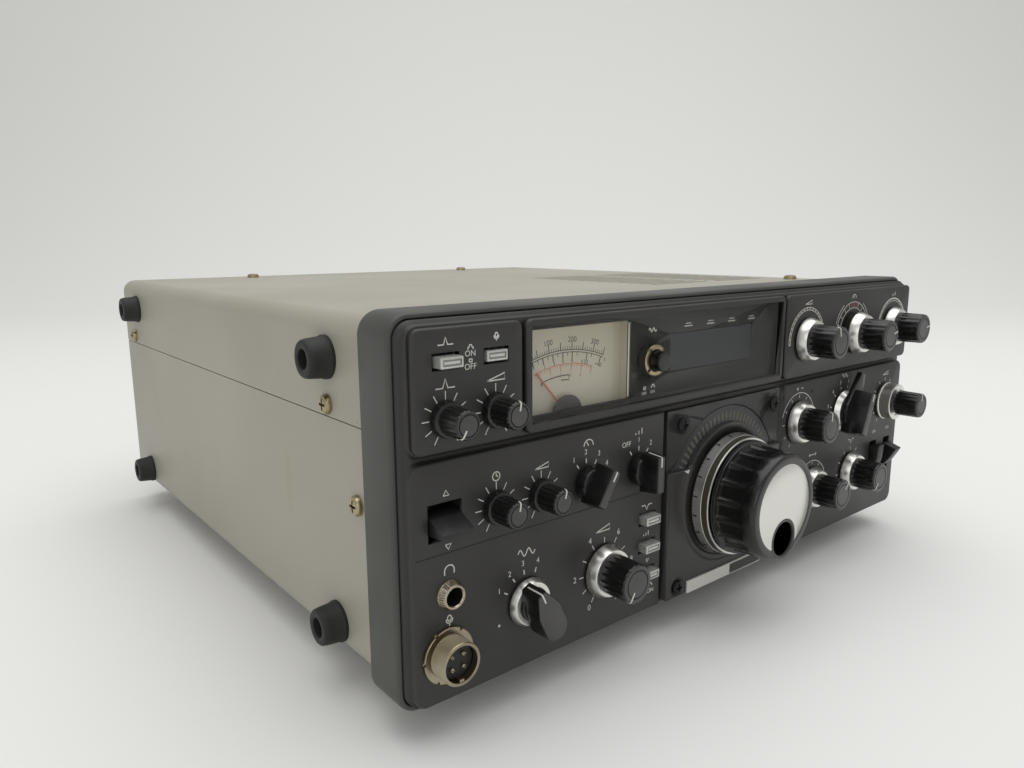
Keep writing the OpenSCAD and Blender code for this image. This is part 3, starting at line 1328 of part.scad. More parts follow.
module tuning_knob() color("#1d1c1b") at(tuning_p) {
    ring_back = -escutcheon_face - knob_gap;
    grip_back = ring_back - dial_ring_t - 0.4;
    hole = [0, -finger_hole_at];
    difference() {
        union() {
            turned(shaft_end, ring_back - cut, shaft_d, shaft_d);
            turned(ring_back, grip_back, 2 * dial_hub_r, 2 * dial_hub_r);
            turned(grip_back, grip_back - 2, 2 * tuning_grip_r + 2, 2 * tuning_grip_r + 2);
            deep(-tuning_face + 3, grip_back - 2)
                fluted(2 * tuning_grip_r, tuning_scallops, tuning_scallop_depth);
            turned(-tuning_face + 3, -tuning_face, 2 * tuning_front_r + 1, 2 * tuning_front_r);
        }
        difference() {
            turned(-tuning_face + 1, -tuning_face - cut, 2 * tuning_disc_r, 2 * tuning_disc_r);
            at(hole) turned(0, -tuning_face - 2 * cut, finger_rim_d, finger_rim_d);
        }
        at(hole) turned(-tuning_face + finger_hole_depth, -tuning_face - cut,
            2 * finger_hole_r, 2 * finger_hole_r);
    }
    color("#c8c8c4") difference() {
        turned(-tuning_face + 1, -tuning_face + 0.2, 2 * tuning_disc_r, 2 * tuning_disc_r);
        at(hole) turned(0, -tuning_face - cut, finger_rim_d, finger_rim_d);
    }
}

module dial_ring() color("#c2c2bd") at(tuning_p) difference() {
    ring_back = -escutcheon_face - knob_gap;
    turned(ring_back, ring_back - dial_ring_t, 2 * dial_ring_r, 2 * dial_ring_r - 2.4);
    turned(0, -tuning_face, 2 * dial_hub_r + 0.2, 2 * dial_hub_r + 0.2);
}

module sub_dial() color("#d9d6c8") at(tuning_p) difference() {
    turned(sub_dial_y + sub_dial_t, sub_dial_y, 2 * sub_dial_r, 2 * sub_dial_r);
    turned(plate_front, -tuning_face, sub_dial_hub_d + 2 * shaft_gap, sub_dial_hub_d + 2 * shaft_gap);
}

// A finger lever that rocks on a cross pin; nose and tail are points of its side outline
module lever(p, w, outline, lean) translate([p[0], lever_pivot - lower_face, p[1]]) rotate([lean, 0, 0]) {
    translate([-w / 2, 0, 0]) rotate([90, 0, 90]) linear_extrude(w) polygon(outline);
    cross_pin(w + 2 * (button_gap + lever_pin_end), lever_pin_d);
}

module standby_lever() color("#161616") lever(standby_p, standby_w, standby_outline, lever_swing / 2);
module heater_lever() color("#161616") lever(heater_p, rocker_w, rocker_outline, -lever_swing);
module power_lever() color("#161616") lever(power_p, rocker_w, rocker_outline, 0);

place() chassis();
place() top_cover();
place() bottom_cover();
place() front_frame();
place() front_panel();
place() upper_left_plate();
place() display_frame();
place() display_window();
place() upper_right_plate();
place() tuning_escutcheon();
place() dial_window();
place() rear_panel();
place() meter_case();
place() meter_scale();
place() meter_needle();
place() side_feet();
place() bottom_feet();
place() carry_handle();
place() screws();
place() phones_jack();
place() mic_connector();
place() rear_sockets();
place() control_bodies();
place() tuning_unit();
place() circuit_boards();
place() power_transformer();
place() output_cage();
place() output_tubes();
place() fan_frame();
place() fan_rotor();
place() speaker();
place() blanker_button();
place() vox_button();
place() calibrator_button();
place() narrow_button();
place() processor_button();
place() attenuator_button();
place() blanker_level_knob();
place() vox_gain_knob();
place() vox_delay_knob();
place() carrier_knob();
place() mic_gain_knob();
place() meter_switch_knob();
place() agc_switch_knob();
place() mode_switch_knob();
place() band_switch_knob();
place() load_knob();
place() plate_knob();
place() drive_knob();
place() rit_knob();
place() af_gain_knob();
place() rf_gain_ring();
place() shift_knob();
place() notch_knob();
place() tuning_knob();
place() dial_ring();
place() sub_dial();
place() standby_lever();
place() heater_lever();
place() power_lever();
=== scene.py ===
import json
import math
import bmesh
import bpy
from mathutils import Matrix, Vector


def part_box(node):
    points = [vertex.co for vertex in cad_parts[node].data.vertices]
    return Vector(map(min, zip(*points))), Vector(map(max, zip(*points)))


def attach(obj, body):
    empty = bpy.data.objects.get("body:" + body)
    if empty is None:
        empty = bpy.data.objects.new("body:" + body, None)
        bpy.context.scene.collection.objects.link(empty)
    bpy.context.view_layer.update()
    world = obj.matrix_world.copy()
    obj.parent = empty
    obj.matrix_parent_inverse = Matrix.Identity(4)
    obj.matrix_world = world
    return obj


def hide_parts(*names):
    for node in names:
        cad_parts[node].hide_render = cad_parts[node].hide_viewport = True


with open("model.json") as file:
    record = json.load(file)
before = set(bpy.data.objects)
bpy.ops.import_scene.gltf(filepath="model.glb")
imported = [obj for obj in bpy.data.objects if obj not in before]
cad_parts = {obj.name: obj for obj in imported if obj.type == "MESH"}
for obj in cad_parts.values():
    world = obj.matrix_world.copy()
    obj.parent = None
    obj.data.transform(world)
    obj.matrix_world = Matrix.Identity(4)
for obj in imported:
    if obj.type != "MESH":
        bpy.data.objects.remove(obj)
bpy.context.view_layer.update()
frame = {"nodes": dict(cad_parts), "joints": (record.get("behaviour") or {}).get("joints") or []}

# Helpers for objects, meshes and nodes. A node's inputs are given by name or number, each as a value or as
# the socket that drives it.
scene = bpy.context.scene
quarter = math.pi / 2


def placed(name, data):
    """A new object for a mesh, curve, lamp or camera, linked to the scene."""
    ob = bpy.data.objects.new(name, data)
    scene.collection.objects.link(ob)
    return ob


def meshed(name, bm, materials=()):
    """Turns a finished bmesh into a mesh with its materials."""
    mesh = bpy.data.meshes.new(name)
    bm.to_mesh(mesh)
    bm.free()
    for material in materials:
        mesh.materials.append(material)
    return mesh


def frozen(ob):
    """An object's mesh with its modifiers applied."""
    seen = bpy.context.evaluated_depsgraph_get()
    return bpy.data.meshes.new_from_object(ob.evaluated_get(seen))


def feed(tree, node, values):
    """Sets a node's inputs, each to a value or to the socket that drives it."""
    for key, value in values.items():
        if isinstance(value, bpy.types.NodeSocket):
            tree.links.new(value, node.inputs[key])
        else:
            node.inputs[key].default_value = value


def add(tree, kind, values, **settings):
    """A new node with its settings and inputs."""
    node = tree.nodes.new(kind)
    for key, value in settings.items():
        setattr(node, key, value)
    feed(tree, node, values)
    return node


def mixed(tree, share, a, b):
    """The socket of a colour that goes from a to b as the share grows."""
    return add(tree, "ShaderNodeMix", {0: share, 6: a, 7: b}, data_type="RGBA").outputs[2]


def material_start(name):
    """A new material with its node tree and its skin node."""
    material = bpy.data.materials.new(name)
    material.use_nodes = True
    return material, material.node_tree, material.node_tree.nodes["Principled BSDF"]


def srgb(levels):
    """A colour given in display levels from 0 to 255, as linear light."""
    return (*(((v / 255 + 0.055) / 1.055) ** 2.4 if v > 10 else v / 255 / 12.92 for v in levels), 1)


# Studio: a seamless pale sweep under and behind the set, one broad soft box overhead, a weak fill from
# the front left, and a camera that stands close to the front left corner.
scene.view_settings.view_transform = "Standard"
heading = math.radians(-39.21)
lens = bpy.data.cameras.new("studio_camera")
lens.sensor_width = 36
lens.lens = 26.87
lens.clip_start = 0.01
camera = placed("studio_camera", lens)
camera.location = (-0.2799, -0.3508, 0.1658)
camera.rotation_euler = (math.radians(79.30), math.radians(0.30), heading)
scene.camera = camera

bend_y, bend_r = 1.2, 1.4
bends = [k * math.pi / 32 for k in range(1, 17)]
sweep = [(-4.0, 0.0), (bend_y, 0.0)]
sweep += [(bend_y + bend_r * math.sin(a), bend_r - bend_r * math.cos(a)) for a in bends]
sweep += [(bend_y + bend_r, 5.0)]
bm = bmesh.new()
sweep_turn = Matrix.Rotation(heading, 4, "Z")
rows = [[bm.verts.new(sweep_turn @ Vector((x, y, z))) for x in (-6, 6)] for y, z in sweep]
for below, above in zip(rows, rows[1:]):
    bm.faces.new((below[0], below[1], above[1], above[0])).smooth = True
paper, tree, skin = material_start("sweep_paper")
feed(tree, skin, {"Base Color": (0.86, 0.86, 0.845, 1), "Roughness": 0.85})
floor = placed("sweep", meshed("sweep", bm, [paper]))

sky = bpy.data.worlds.new("studio")
scene.world = sky
sky.use_nodes = True
feed(sky.node_tree, sky.node_tree.nodes["Background"], {"Color": (1.0, 0.995, 0.98, 1), "Strength": 0.52})
for label, place, aim, size, power in (
    ("overhead_box", (0.2, -0.1, 2.1), (0.0, 0.05, 0.0), 2.6, 31),
    ("fill_box", (-1.8, -1.8, 1.0), (0.0, 0.0, 0.05), 1.5, 6),
):
    lamp = bpy.data.lights.new(label, "AREA")
    lamp.size = size
    lamp.energy = power
    holder = placed(label, lamp)
    holder.location = place
    holder.rotation_euler = (Vector(aim) - Vector(place)).to_track_quat("-Z", "Y").to_euler()

# Covers: two folded sheets of steel, painted warm grey, that meet at a seam on the sides. The paint is
# smooth with a fine mist of grain, faint dust and one rubbed, yellowed scuff low on the left side.
low = Vector(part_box("front_frame")[0])


def at(x, y, z):
    """Millimetres from the middle of the frame's lower front edge, as a point in the part's frame."""
    return Vector((x / 1000, low.y + y / 1000, low.z + z / 1000))


def finish(name, tint, worn, rough=0.5, grain=0.5, relief=0.08, metal=0.0, coat=0.0, spread=14.0, spots=0.0):
    """Paint, plastic or metal: two tints in soft patches, a fine grain, uneven gloss and a few specks."""
    material, tree, skin = material_start(name)
    place = tree.nodes.new("ShaderNodeTexCoord").outputs["Object"]
    patches = add(tree, "ShaderNodeTexNoise", {"Vector": place, "Scale": spread, "Detail": 6}).outputs["Fac"]
    grains = add(tree, "ShaderNodeTexNoise", {"Vector": place, "Scale": 1000 / grain, "Detail": 2})
    amount = add(tree, "ShaderNodeMapRange", {"Value": patches, "From Min": 0.35, "From Max": 0.75})
    colour = mixed(tree, amount.outputs["Result"], srgb(tint), srgb(worn))
    gloss = add(tree, "ShaderNodeMapRange", {
        "Value": patches, "From Min": 0.3, "From Max": 0.7,
        "To Min": max(rough - 0.06, 0.02), "To Max": min(rough + 0.08, 1.0)})
    bump = add(tree, "ShaderNodeBump", {
        "Height": grains.outputs["Fac"], "Strength": relief, "Distance": grain / 1000})
    if spots:
        dots = add(tree, "ShaderNodeTexVoronoi", {"Vector": place, "Scale": 90})
        small = add(tree, "ShaderNodeMapRange", {
            "Value": dots.outputs["Distance"], "From Min": 0.05, "From Max": 0.03, "To Max": spots})
        dark = (*(v * 0.35 for v in srgb(tint)[:3]), 1)
        colour = mixed(tree, small.outputs["Result"], colour, dark)
    feed(tree, skin, {"Metallic": metal, "Coat Weight": coat, "Base Color": colour,
                      "Roughness": gloss.outputs["Result"], "Normal": bump.outputs["Normal"]})
    return material


def painted(material, *names):
    """Gives CAD nodes that stay as they are their finish."""
    for name in names:
        slots = frame["nodes"][name].data.materials
        slots.clear()
        slots.append(material)


case_paint = finish("case_paint", (164, 161, 148), (156, 152, 138), 0.46, 0.35, 0.05, spread=7, spots=0.5)
tree = case_paint.node_tree
skin = tree.nodes["Principled BSDF"]
place = next(n for n in tree.nodes if n.type == "TEX_COORD").outputs["Object"]
near = add(tree, "ShaderNodeMapping", {"Vector": place, "Location": -at(-163, 88, 60)})
drawn = add(tree, "ShaderNodeVectorMath", {0: near.outputs["Vector"], 1: (60, 200, 60)}, operation="MULTIPLY")
far = add(tree, "ShaderNodeVectorMath", {0: drawn.outputs["Vector"]}, operation="LENGTH")
fade = add(tree, "ShaderNodeMapRange", {
    "Value": far.outputs["Value"], "From Min": 1.0, "From Max": 0.2, "To Max": 0.5})
breaks = add(tree, "ShaderNodeTexNoise", {"Vector": place, "Scale": 160})
scuff = add(tree, "ShaderNodeMath", {0: fade.outputs["Result"], 1: breaks.outputs["Fac"]},
            operation="MULTIPLY")
before = skin.inputs["Base Color"].links[0].from_socket
feed(tree, skin, {"Base Color": mixed(tree, scuff.outputs["Value"], before, srgb((150, 132, 92)))})
painted(case_paint, "top_cover", "bottom_cover")

# Chassis and rear panel: bent zinc-plated steel behind the covers, seen through the vents and at the
# back, where the panel is painted dark and screwed to the chassis.
zinc = finish("zinc_plate", (150, 150, 146), (128, 126, 118), 0.38, 0.8, 0.05, metal=0.9)
rear_paint = finish("rear_paint", (60, 60, 58), (52, 51, 49), 0.5, 0.4, 0.08)
painted(zinc, "chassis")
painted(rear_paint, "rear_panel")

# Feet: turned black rubber buttons with a hollow end, four on the left side for standing the set on end
# and four taller ones underneath.
rubber = finish("foot_rubber", (24, 24, 24), (38, 37, 35), 0.62, 0.5, 0.12)
side_x, top_z = 162.9, 130.3


def joined(bm, loops, paint=0):
    """Joins closed loops of vertices, one after the other, with bands of faces."""
    for back, front in zip(loops, loops[1:]):
        for k in range(len(back)):
            n = (k + 1) % len(back)
            bm.faces.new((back[k], back[n], front[n], front[k])).material_index = paint


def lathe(bm, to, rings, steps=64, groove=None, paint=0):
    """Turns (y, r) or (y, r, groove share, paint) rings in mm about the local Y axis, front towards -Y."""
    strip = bm.loops.layers.uv.get("turned") or bm.loops.layers.uv.new("turned")
    loops = []
    along = 0.0
    last = None
    for ring in rings:
        y, r, share, coat = ring if len(ring) == 4 else (*ring, 0, paint)
        along += math.dist(last, (y, r)) if last else 0.0
        last = (y, r)
        count = steps if r > 0 else 1
        verts = []
        for k in range(count):
            turn = 2 * math.pi * k / count
            reach = r - (share * groove(turn) if groove and share else 0.0)
            verts.append(bm.verts.new(to @ Vector((reach * math.sin(turn), y, reach * math.cos(turn)))))
        loops.append((verts, along, coat))
    for (back, v0, _), (front, v1, coat) in zip(loops, loops[1:]):
        for k in range(steps):
            n = (k + 1) % steps
            corners = [(back[k % len(back)], k, v0), (front[k % len(front)], k, v1),
                       (front[n % len(front)], k + 1, v1), (back[n % len(back)], k + 1, v0)]
            kept = []
            for corner in corners:
                if corner[0] not in [c[0] for c in kept]:
                    kept.append(corner)
            if len(kept) < 3:
                continue
            face = bm.faces.new([c[0] for c in kept])
            face.material_index = coat
            for loop, (_, u, v) in zip(face.loops, kept):
                loop[strip].uv = (u / steps, v / 10)
    for (verts, _, coat), flip in ((loops[0], False), (loops[-1], True)):
        if len(verts) > 2:
            bm.faces.new(verts if flip else verts[::-1]).material_index = coat


def piece(name, bm, materials, body, hides=(), crease=32, solid=True):
    """A finished mesh on its body, in the place of the CAD nodes that it stands for."""
    if solid:
        bmesh.ops.recalc_face_normals(bm, faces=bm.faces)
    mesh = meshed(name, bm, materials)
    mesh.shade_smooth()
    mesh.set_sharp_from_angle(angle=math.radians(crease))
    ob = placed(name, mesh)
    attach(ob, body)
    if hides:
        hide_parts(*hides)


def facing(point, side="front"):
    """A frame at a point whose local -Y looks out of the named side, in millimetres."""
    turn = {"front": Matrix(), "left": Matrix.Rotation(-quarter, 4, "Z"),
            "under": Matrix.Rotation(quarter, 4, "X")}[side]
    return Matrix.Translation(point) @ turn @ Matrix.Scale(0.001, 4)


bm = bmesh.new()
for y in (48.5, 304):
    for z in (14.3, 114.4):
        lathe(bm, facing(at(-side_x, y, z), "left"), [
            (0, 7.5), (0, 7.9), (-1.2, 7.9), (-1.8, 7.5), (-6.9, 7.1), (-8.3, 6.8), (-8.8, 6.4), (-9, 5.8),
            (-9, 4.2), (-8.7, 3.7), (-3.2, 3.4), (-3.0, 0)], 48)
piece("side_feet_rubber", bm, [rubber], "case", ["side_feet"])
bm = bmesh.new()
for x in (-130.9, 130.9):
    for y in (44.5, 300):
        lathe(bm, facing(at(x, y, 2.7), "under"), [
            (0, 11.4), (0, 12), (-1.5, 12), (-2.2, 11.4), (-12.6, 10.6), (-13.6, 10.1), (-14, 9.2),
            (-14, 5.4), (-13.5, 4.8), (-5, 4.4), (-4.8, 0)], 48)
piece("bottom_feet_rubber", bm, [rubber], "case", ["bottom_feet"])

# Screws: nickel-brass pan heads with a cross recess, sunk a little into the covers. One head is modelled,
# and a node tree sets it at every place on a side and turns it outwards.
brass = finish("screw_brass", (176, 164, 132), (140, 126, 96), 0.34, 0.6, 0.06, metal=1.0)


def carved(bm, tool, materials):
    """Cuts one closed mesh out of another; the cut's faces keep the tool's material."""
    made = []
    for shape in (bm, tool):
        bmesh.ops.recalc_face_normals(shape, faces=shape.faces)
        made.append(placed("carving", meshed("carving", shape, materials)))
    cut = made[0].modifiers.new("cut", "BOOLEAN")
    cut.operation = "DIFFERENCE"
    cut.solver = "EXACT"
    cut.object = made[1]
    result = bmesh.new()
    result.from_mesh(frozen(made[0]))
    for ob in made:
        bpy.data.objects.remove(ob)
    return result


def pan_head(r, h, slot_l, slot_w):
    """A cross-recessed pan head in mm, front towards -Y: a domed disc with a cross sunk in its top."""
    bm = bmesh.new()
    lathe(bm, Matrix(), [(0, r * 0.9), (0, r), (-h * 0.45, r), (-h * 0.8, r * 0.86), (-h * 0.95, r * 0.62),
                         (-h, r * 0.3), (-h, 0)], 24)
    for turn in (0, quarter):
        tool = bmesh.new()
        size = Matrix.Diagonal((slot_l, h * 1.2, slot_w, 1))
        place = Matrix.Rotation(turn, 4, "Y") @ Matrix.Translation((0, -h, 0))
        bmesh.ops.create_cube(tool, size=1, matrix=place @ size)
        bm = carved(bm, tool, [brass])
    bm.transform(Matrix.Scale(0.001, 4))
    return bm


def tree_start(name, **wanted):
    """A new geometry node tree with named inputs, and the sockets that give them."""
    tree = bpy.data.node_groups.new(name, "GeometryNodeTree")
    for label, kind in {"Geometry": "Geometry", **wanted}.items():
        tree.interface.new_socket(label, in_out="INPUT", socket_type="NodeSocket" + kind)
    tree.interface.new_socket("Geometry", in_out="OUTPUT", socket_type="NodeSocketGeometry")
    return tree, tree.nodes.new("NodeGroupInput").outputs


def tree_end(tree, points, instance, turn, material):
    """Ends a tree: copies of the instance at the points, turned, made real and given their finish."""
    spread = add(tree, "GeometryNodeInstanceOnPoints", {
        "Points": points, "Instance": instance, "Rotation": turn})
    real = add(tree, "GeometryNodeRealizeInstances", {"Geometry": spread.outputs["Instances"]})
    dress = add(tree, "GeometryNodeSetMaterial", {"Geometry": real.outputs["Geometry"], "Material": material})
    add(tree, "NodeGroupOutput", {"Geometry": dress.outputs["Geometry"]})


def grown(tree, values, mesh):
    """Runs a node tree on a mesh and returns the result as a plain mesh."""
    host = placed("host", mesh)
    grow = host.modifiers.new("grow", "NODES")
    grow.node_group = tree
    for socket in tree.interface.items_tree:
        if socket.in_out == "INPUT" and socket.name in values:
            grow[socket.identifier] = values[socket.name]
    result = frozen(host)
    bpy.data.objects.remove(host)
    return result


repeat, given = tree_start("set_at_points", Piece="Object", Turn="Vector", Finish="Material")
info = add(repeat, "GeometryNodeObjectInfo", {"Object": given["Piece"]})
tree_end(repeat, given["Geometry"], info.outputs["Geometry"], given["Turn"], given["Finish"])


def set_at(bm, made, points, turn, material):
    """Adds one copy of a small mesh at each point, turned the same way."""
    sample = placed("sample", meshed("sample", made))
    spots = bpy.data.meshes.new("spots")
    spots.from_pydata([tuple(p) for p in points], [], [])
    bm.from_mesh(grown(repeat, {"Piece": sample, "Turn": turn, "Finish": material}, spots))
    bpy.data.objects.remove(sample)


side_places = ((49, 97.4), (314, 97.4), (29, 65))
top_places = ((-86, 316), (86, 316), (142, 54.5))
bm = bmesh.new()
for points, turn in (([at(-side_x, y, z) for y, z in side_places], (0, 0, -quarter)),
                     ([at(side_x, y, z) for y, z in side_places], (0, 0, quarter)),
                     ([at(x, y, top_z) for x, y in top_places], (-quarter, 0, 0))):
    set_at(bm, pan_head(3.7, 2.4, 4.4, 0.9), points, turn, brass)
piece("cover_screws", bm, [brass], "case", ["screws"], solid=False)
black_oxide = finish("black_screw", (26, 26, 26), (40, 39, 37), 0.36, 0.5, 0.06, metal=0.6)
corner_places = [at(x, -6.5, z) for x in (-33, 33) for z in (8.1, 79.5)]
bm = bmesh.new()
set_at(bm, pan_head(3.2, 1.3, 3.6, 0.8), corner_places, (0, 0, 0), black_oxide)
# Painted shade: a thin flat black ring round each head stands in for the shade round it on the escutcheon.
for point in corner_places:
    lathe(bm, facing(point), [(0.1, 3.1), (0.1, 4.2), (-0.06, 4.2), (-0.06, 3.1), (0.1, 3.1)], 32)
piece("escutcheon_screws", bm, [black_oxide], "case", solid=False)

# Carry handle: a moulded black strap on the right side, held between two end blocks that are screwed
# to the cover. Its skin is grained.
handle_plastic = finish("handle_plastic", (30, 30, 30), (42, 41, 40), 0.5, 0.7, 0.2)
painted(handle_plastic, "carry_handle")

# Front frame: a die-cast rim round the panel with rounded corners and edges, painted dark grey. Its front
# edge is rolled over and catches the light as a thin line.
frame_paint = finish("frame_paint", (70, 71, 67), (63, 64, 60), 0.5, 0.3, 0.12, spread=20, spots=0.3)


def rounded(x0, x1, z0, z1, r, steps=10):
    """Corner points of a rounded rectangle in mm, anticlockwise."""
    points = []
    for cx, cz, start in ((x1 - r, z1 - r, 0), (x0 + r, z1 - r, 90), (x0 + r, z0 + r, 180),
                          (x1 - r, z0 + r, 270)):
        for k in range(steps + 1):
            turn = math.radians(start + 90 * k / steps)
            points.append((cx + r * math.cos(turn), cz + r * math.sin(turn)))
    return points


def stacked(bm, box, r, levels, cap_back=True, cap_front=True, paint=0):
    """Joins rounded rectangles, each set in from the box by an inset at a depth y, into one skin."""
    loops = []
    for inset, y in levels:
        points = rounded(box[0] + inset, box[1] - inset, box[2] + inset, box[3] - inset,
                         max(r - inset, 0.15))
        loops.append([bm.verts.new(at(x, y, z)) for x, z in points])
    joined(bm, loops, paint)
    if cap_back:
        bm.faces.new(loops[0]).material_index = paint
    if cap_front:
        bm.faces.new(loops[-1]).material_index = paint
    return loops


bm = bmesh.new()
loops = stacked(bm, (-166.5, 166.5, 0, 133), 8, [
    (2.2, 18.5), (0.6, 18.5), (0.15, 18.1), (0, 17.4), (0, 1.6), (0.2, 0.7), (0.6, 0.2), (1.2, 0), (1.6, 0),
    (1.9, 0.2), (2, 0.5), (2, 18.5)], False, False)
bmesh.ops.bridge_loops(bm, edges=[bm.edges.get((p, n)) for loop in (loops[0], loops[-1])
                                  for p, n in zip(loop, loop[1:] + loop[:1])])
piece("front_frame_rim", bm, [frame_paint], "case", ["front_frame"])

# Front panel and its three upper plates: moulded in dark grey plastic with a satin face. The lower tier,
# the plates and the display frame stand proud with rounded edges that catch the light.
panel_paint = finish("panel_paint", (44, 43, 40), (40, 39, 36), 0.46, 0.25, 0.10, spread=24, spots=0.25)


def inset_from(point, box, r):
    """How far a point of the part lies inside a rounded rectangle's outline, in mm."""
    spot = (point - at(0, 0, 0)) * 1000
    dx = abs(spot.x - (box[0] + box[1]) / 2) - (box[1] - box[0]) / 2 + r
    dz = abs(spot.z - (box[2] + box[3]) / 2) - (box[3] - box[2]) / 2 + r
    return r - (math.hypot(max(dx, 0), max(dz, 0)) + min(max(dx, dz), 0))


def softened(node, tiers):
    """A merged copy of a CAD node whose raised faces, each (box, r, y), get a rolled outer edge."""
    same_y = 2e-5
    bm = bmesh.new()
    bm.from_mesh(frame["nodes"][node].data)
    bmesh.ops.remove_doubles(bm, verts=bm.verts, dist=2e-6)
    bm.normal_update()
    for box, r, y in tiers:
        level = at(0, y, 0).y
        front = [f for f in bm.faces if f.normal.y < -0.99 and abs(f.calc_center_median().y - level) < same_y
                 and inset_from(f.calc_center_median(), box, r) > -0.1]
        for step in (0.3, 0.5):
            bmesh.ops.inset_region(bm, faces=front, thickness=step / 1000, use_boundary=True,
                                   use_even_offset=True)
        for vert in bm.verts:
            if abs(vert.co.y - level) < same_y:
                depth = inset_from(vert.co, box, r)
                if abs(depth) < 0.04:
                    vert.co.y += 0.0007
                elif abs(depth - 0.3) < 0.05:
                    vert.co.y += 0.0002
    return bm


def node_box(name):
    """A node's box in mm from the frame's lower front edge: x0, x1, y0, y1, z0, z1."""
    a, b = ((Vector(c) - at(0, 0, 0)) * 1000 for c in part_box(name))
    return a.x, b.x, a.y, b.y, a.z, b.z


tiers = {}
for name in ("upper_left_plate", "display_frame", "upper_right_plate"):
    x0, x1, y0, y1, z0, z1 = node_box(name)
    tiers[name] = [((x0, x1, z0, z1), 3, y0)]
x0, x1, y0, y1, z0, z1 = node_box("front_panel")
tiers["front_panel"] = [((x0 + 1.1, x1 - 1.1, z0 + 1.1, 86.3), 4.9, -5.5),
                        ((x0 + 1.1, x1 - 1.1, 88.3, z1 - 1.1), 4.9, -4.5)]
for name, raised in tiers.items():
    piece(name + "_moulding", softened(name, raised), [panel_paint], "case", [name], crease=50,
          solid=False)

# Display: a smoked acrylic window set back in its frame, with the readout's own dark pane behind it. The
# pane is a dark filter that shows nothing while the set is off.
def clear_plastic(name, tint, cover, rough):
    """Clear sheet: light passes straight through all but a share of it, under a faintly dusty gloss."""
    material, tree, skin = material_start(name)
    place = tree.nodes.new("ShaderNodeTexCoord").outputs["Object"]
    dust = add(tree, "ShaderNodeTexNoise", {"Vector": place, "Scale": 220})
    gloss = add(tree, "ShaderNodeMapRange", {
        "Value": dust.outputs["Fac"], "From Min": 0.4, "From Max": 0.8,
        "To Min": rough, "To Max": rough + 0.06})
    feed(tree, skin, {"Base Color": srgb(tint), "Alpha": cover, "Roughness": gloss.outputs["Result"]})
    return material


smoked = clear_plastic("smoked_acrylic", (150, 150, 148), 0.04, 0.06)
painted(smoked, "display_window")
readout_glass = finish("readout_glass", (33, 36, 41), (37, 40, 45), 0.5, 0.5, 0.02, spread=6)
bm = bmesh.new()
stacked(bm, (-36, 20.8, 101, 116.8), 0.6, [(0, 0.4), (0, -0.5), (0.25, -0.8)])
piece("readout_pane", bm, [readout_glass], "case")

# Meter: a cream card printed in black and red behind the window, in a pale plastic case, with a red needle
# on a pivot under a dark half-round cover.
card = finish("meter_card", (209, 204, 187), (200, 194, 174), 0.7, 0.6, 0.03, spread=30)
meter_plastic = finish("meter_plastic", (206, 200, 182), (190, 182, 160), 0.45, 0.6, 0.05)
card_black = finish("card_black", (78, 78, 73), (94, 93, 87), 0.6, 0.3, 0.02)
print_red = finish("print_red", (200, 132, 117), (206, 146, 131), 0.6, 0.3, 0.02)
painted(card, "meter_scale")
painted(meter_plastic, "meter_case")

tick_ring, given = tree_start("ring_of_ticks", Count="Int", Radius="Float", Start="Float", Step="Float",
                              Length="Float", Width="Float", Depth="Float", Finish="Material")


def reckon(operation, *terms):
    """The result of a sum in the tick tree."""
    return add(tick_ring, "ShaderNodeMath", dict(enumerate(terms)), operation=operation).outputs["Value"]


def vector(**parts):
    """A vector in the tick tree, made of the given parts."""
    return add(tick_ring, "ShaderNodeCombineXYZ", parts).outputs["Vector"]


index = tick_ring.nodes.new("GeometryNodeInputIndex").outputs["Index"]
turn = reckon("ADD", reckon("MULTIPLY", index, given["Step"]), given["Start"])
spot = vector(X=reckon("MULTIPLY", reckon("SINE", turn), given["Radius"]),
              Z=reckon("MULTIPLY", reckon("COSINE", turn), given["Radius"]))
line = add(tick_ring, "GeometryNodeMeshLine", {"Count": given["Count"]})
moved = add(tick_ring, "GeometryNodeSetPosition", {"Geometry": line.outputs["Mesh"], "Position": spot})
size = vector(X=given["Width"], Y=given["Depth"], Z=given["Length"])
bar = add(tick_ring, "GeometryNodeMeshCube", {"Size": size})
tree_end(tick_ring, moved.outputs["Geometry"], bar.outputs["Mesh"], vector(Y=turn), given["Finish"])


def ticks(bm, centre, count, radius, start, step, length, width, material, depth=0.1):
    """A ring of printed or engraved ticks about a centre, in mm and degrees clockwise from the top."""
    mesh = grown(tick_ring, {
        "Count": count, "Radius": radius / 1000, "Start": math.radians(start), "Step": math.radians(step),
        "Length": length / 1000, "Width": width / 1000, "Depth": depth / 1000, "Finish": material},
        bpy.data.meshes.new("host"))
    mesh.transform(Matrix.Translation(centre))
    bm.from_mesh(mesh)


def stroke(bm, points, width, y):
    """A printed line through (x, z) points on a face at depth y, in mm."""
    rows = []
    for k, (x, z) in enumerate(points):
        ahead = points[min(k + 1, len(points) - 1)]
        behind = points[max(k - 1, 0)]
        dx, dz = ahead[0] - behind[0], ahead[1] - behind[1]
        span = math.hypot(dx, dz) or 1.0
        nx, nz = -dz / span * width / 2, dx / span * width / 2
        rows.append([bm.verts.new(at(x + s * nx, y + d, z + s * nz)) for s, d in
                     ((1, 0.02), (1, -0.05), (-1, -0.05), (-1, 0.02))])
    joined(bm, rows)
    bm.faces.new(rows[0])
    bm.faces.new(rows[-1][::-1])


def on_ring(cx, cz, r, turn):
    """A point on a circle, in degrees clockwise from the top."""
    return cx + r * math.sin(math.radians(turn)), cz + r * math.cos(math.radians(turn))


def bow(cx, cz, r, start, stop, steps=24):
    """Points on an arc, in degrees clockwise from the top."""
    return [on_ring(cx, cz, r, start + (stop - start) * k / steps) for k in range(steps + 1)]


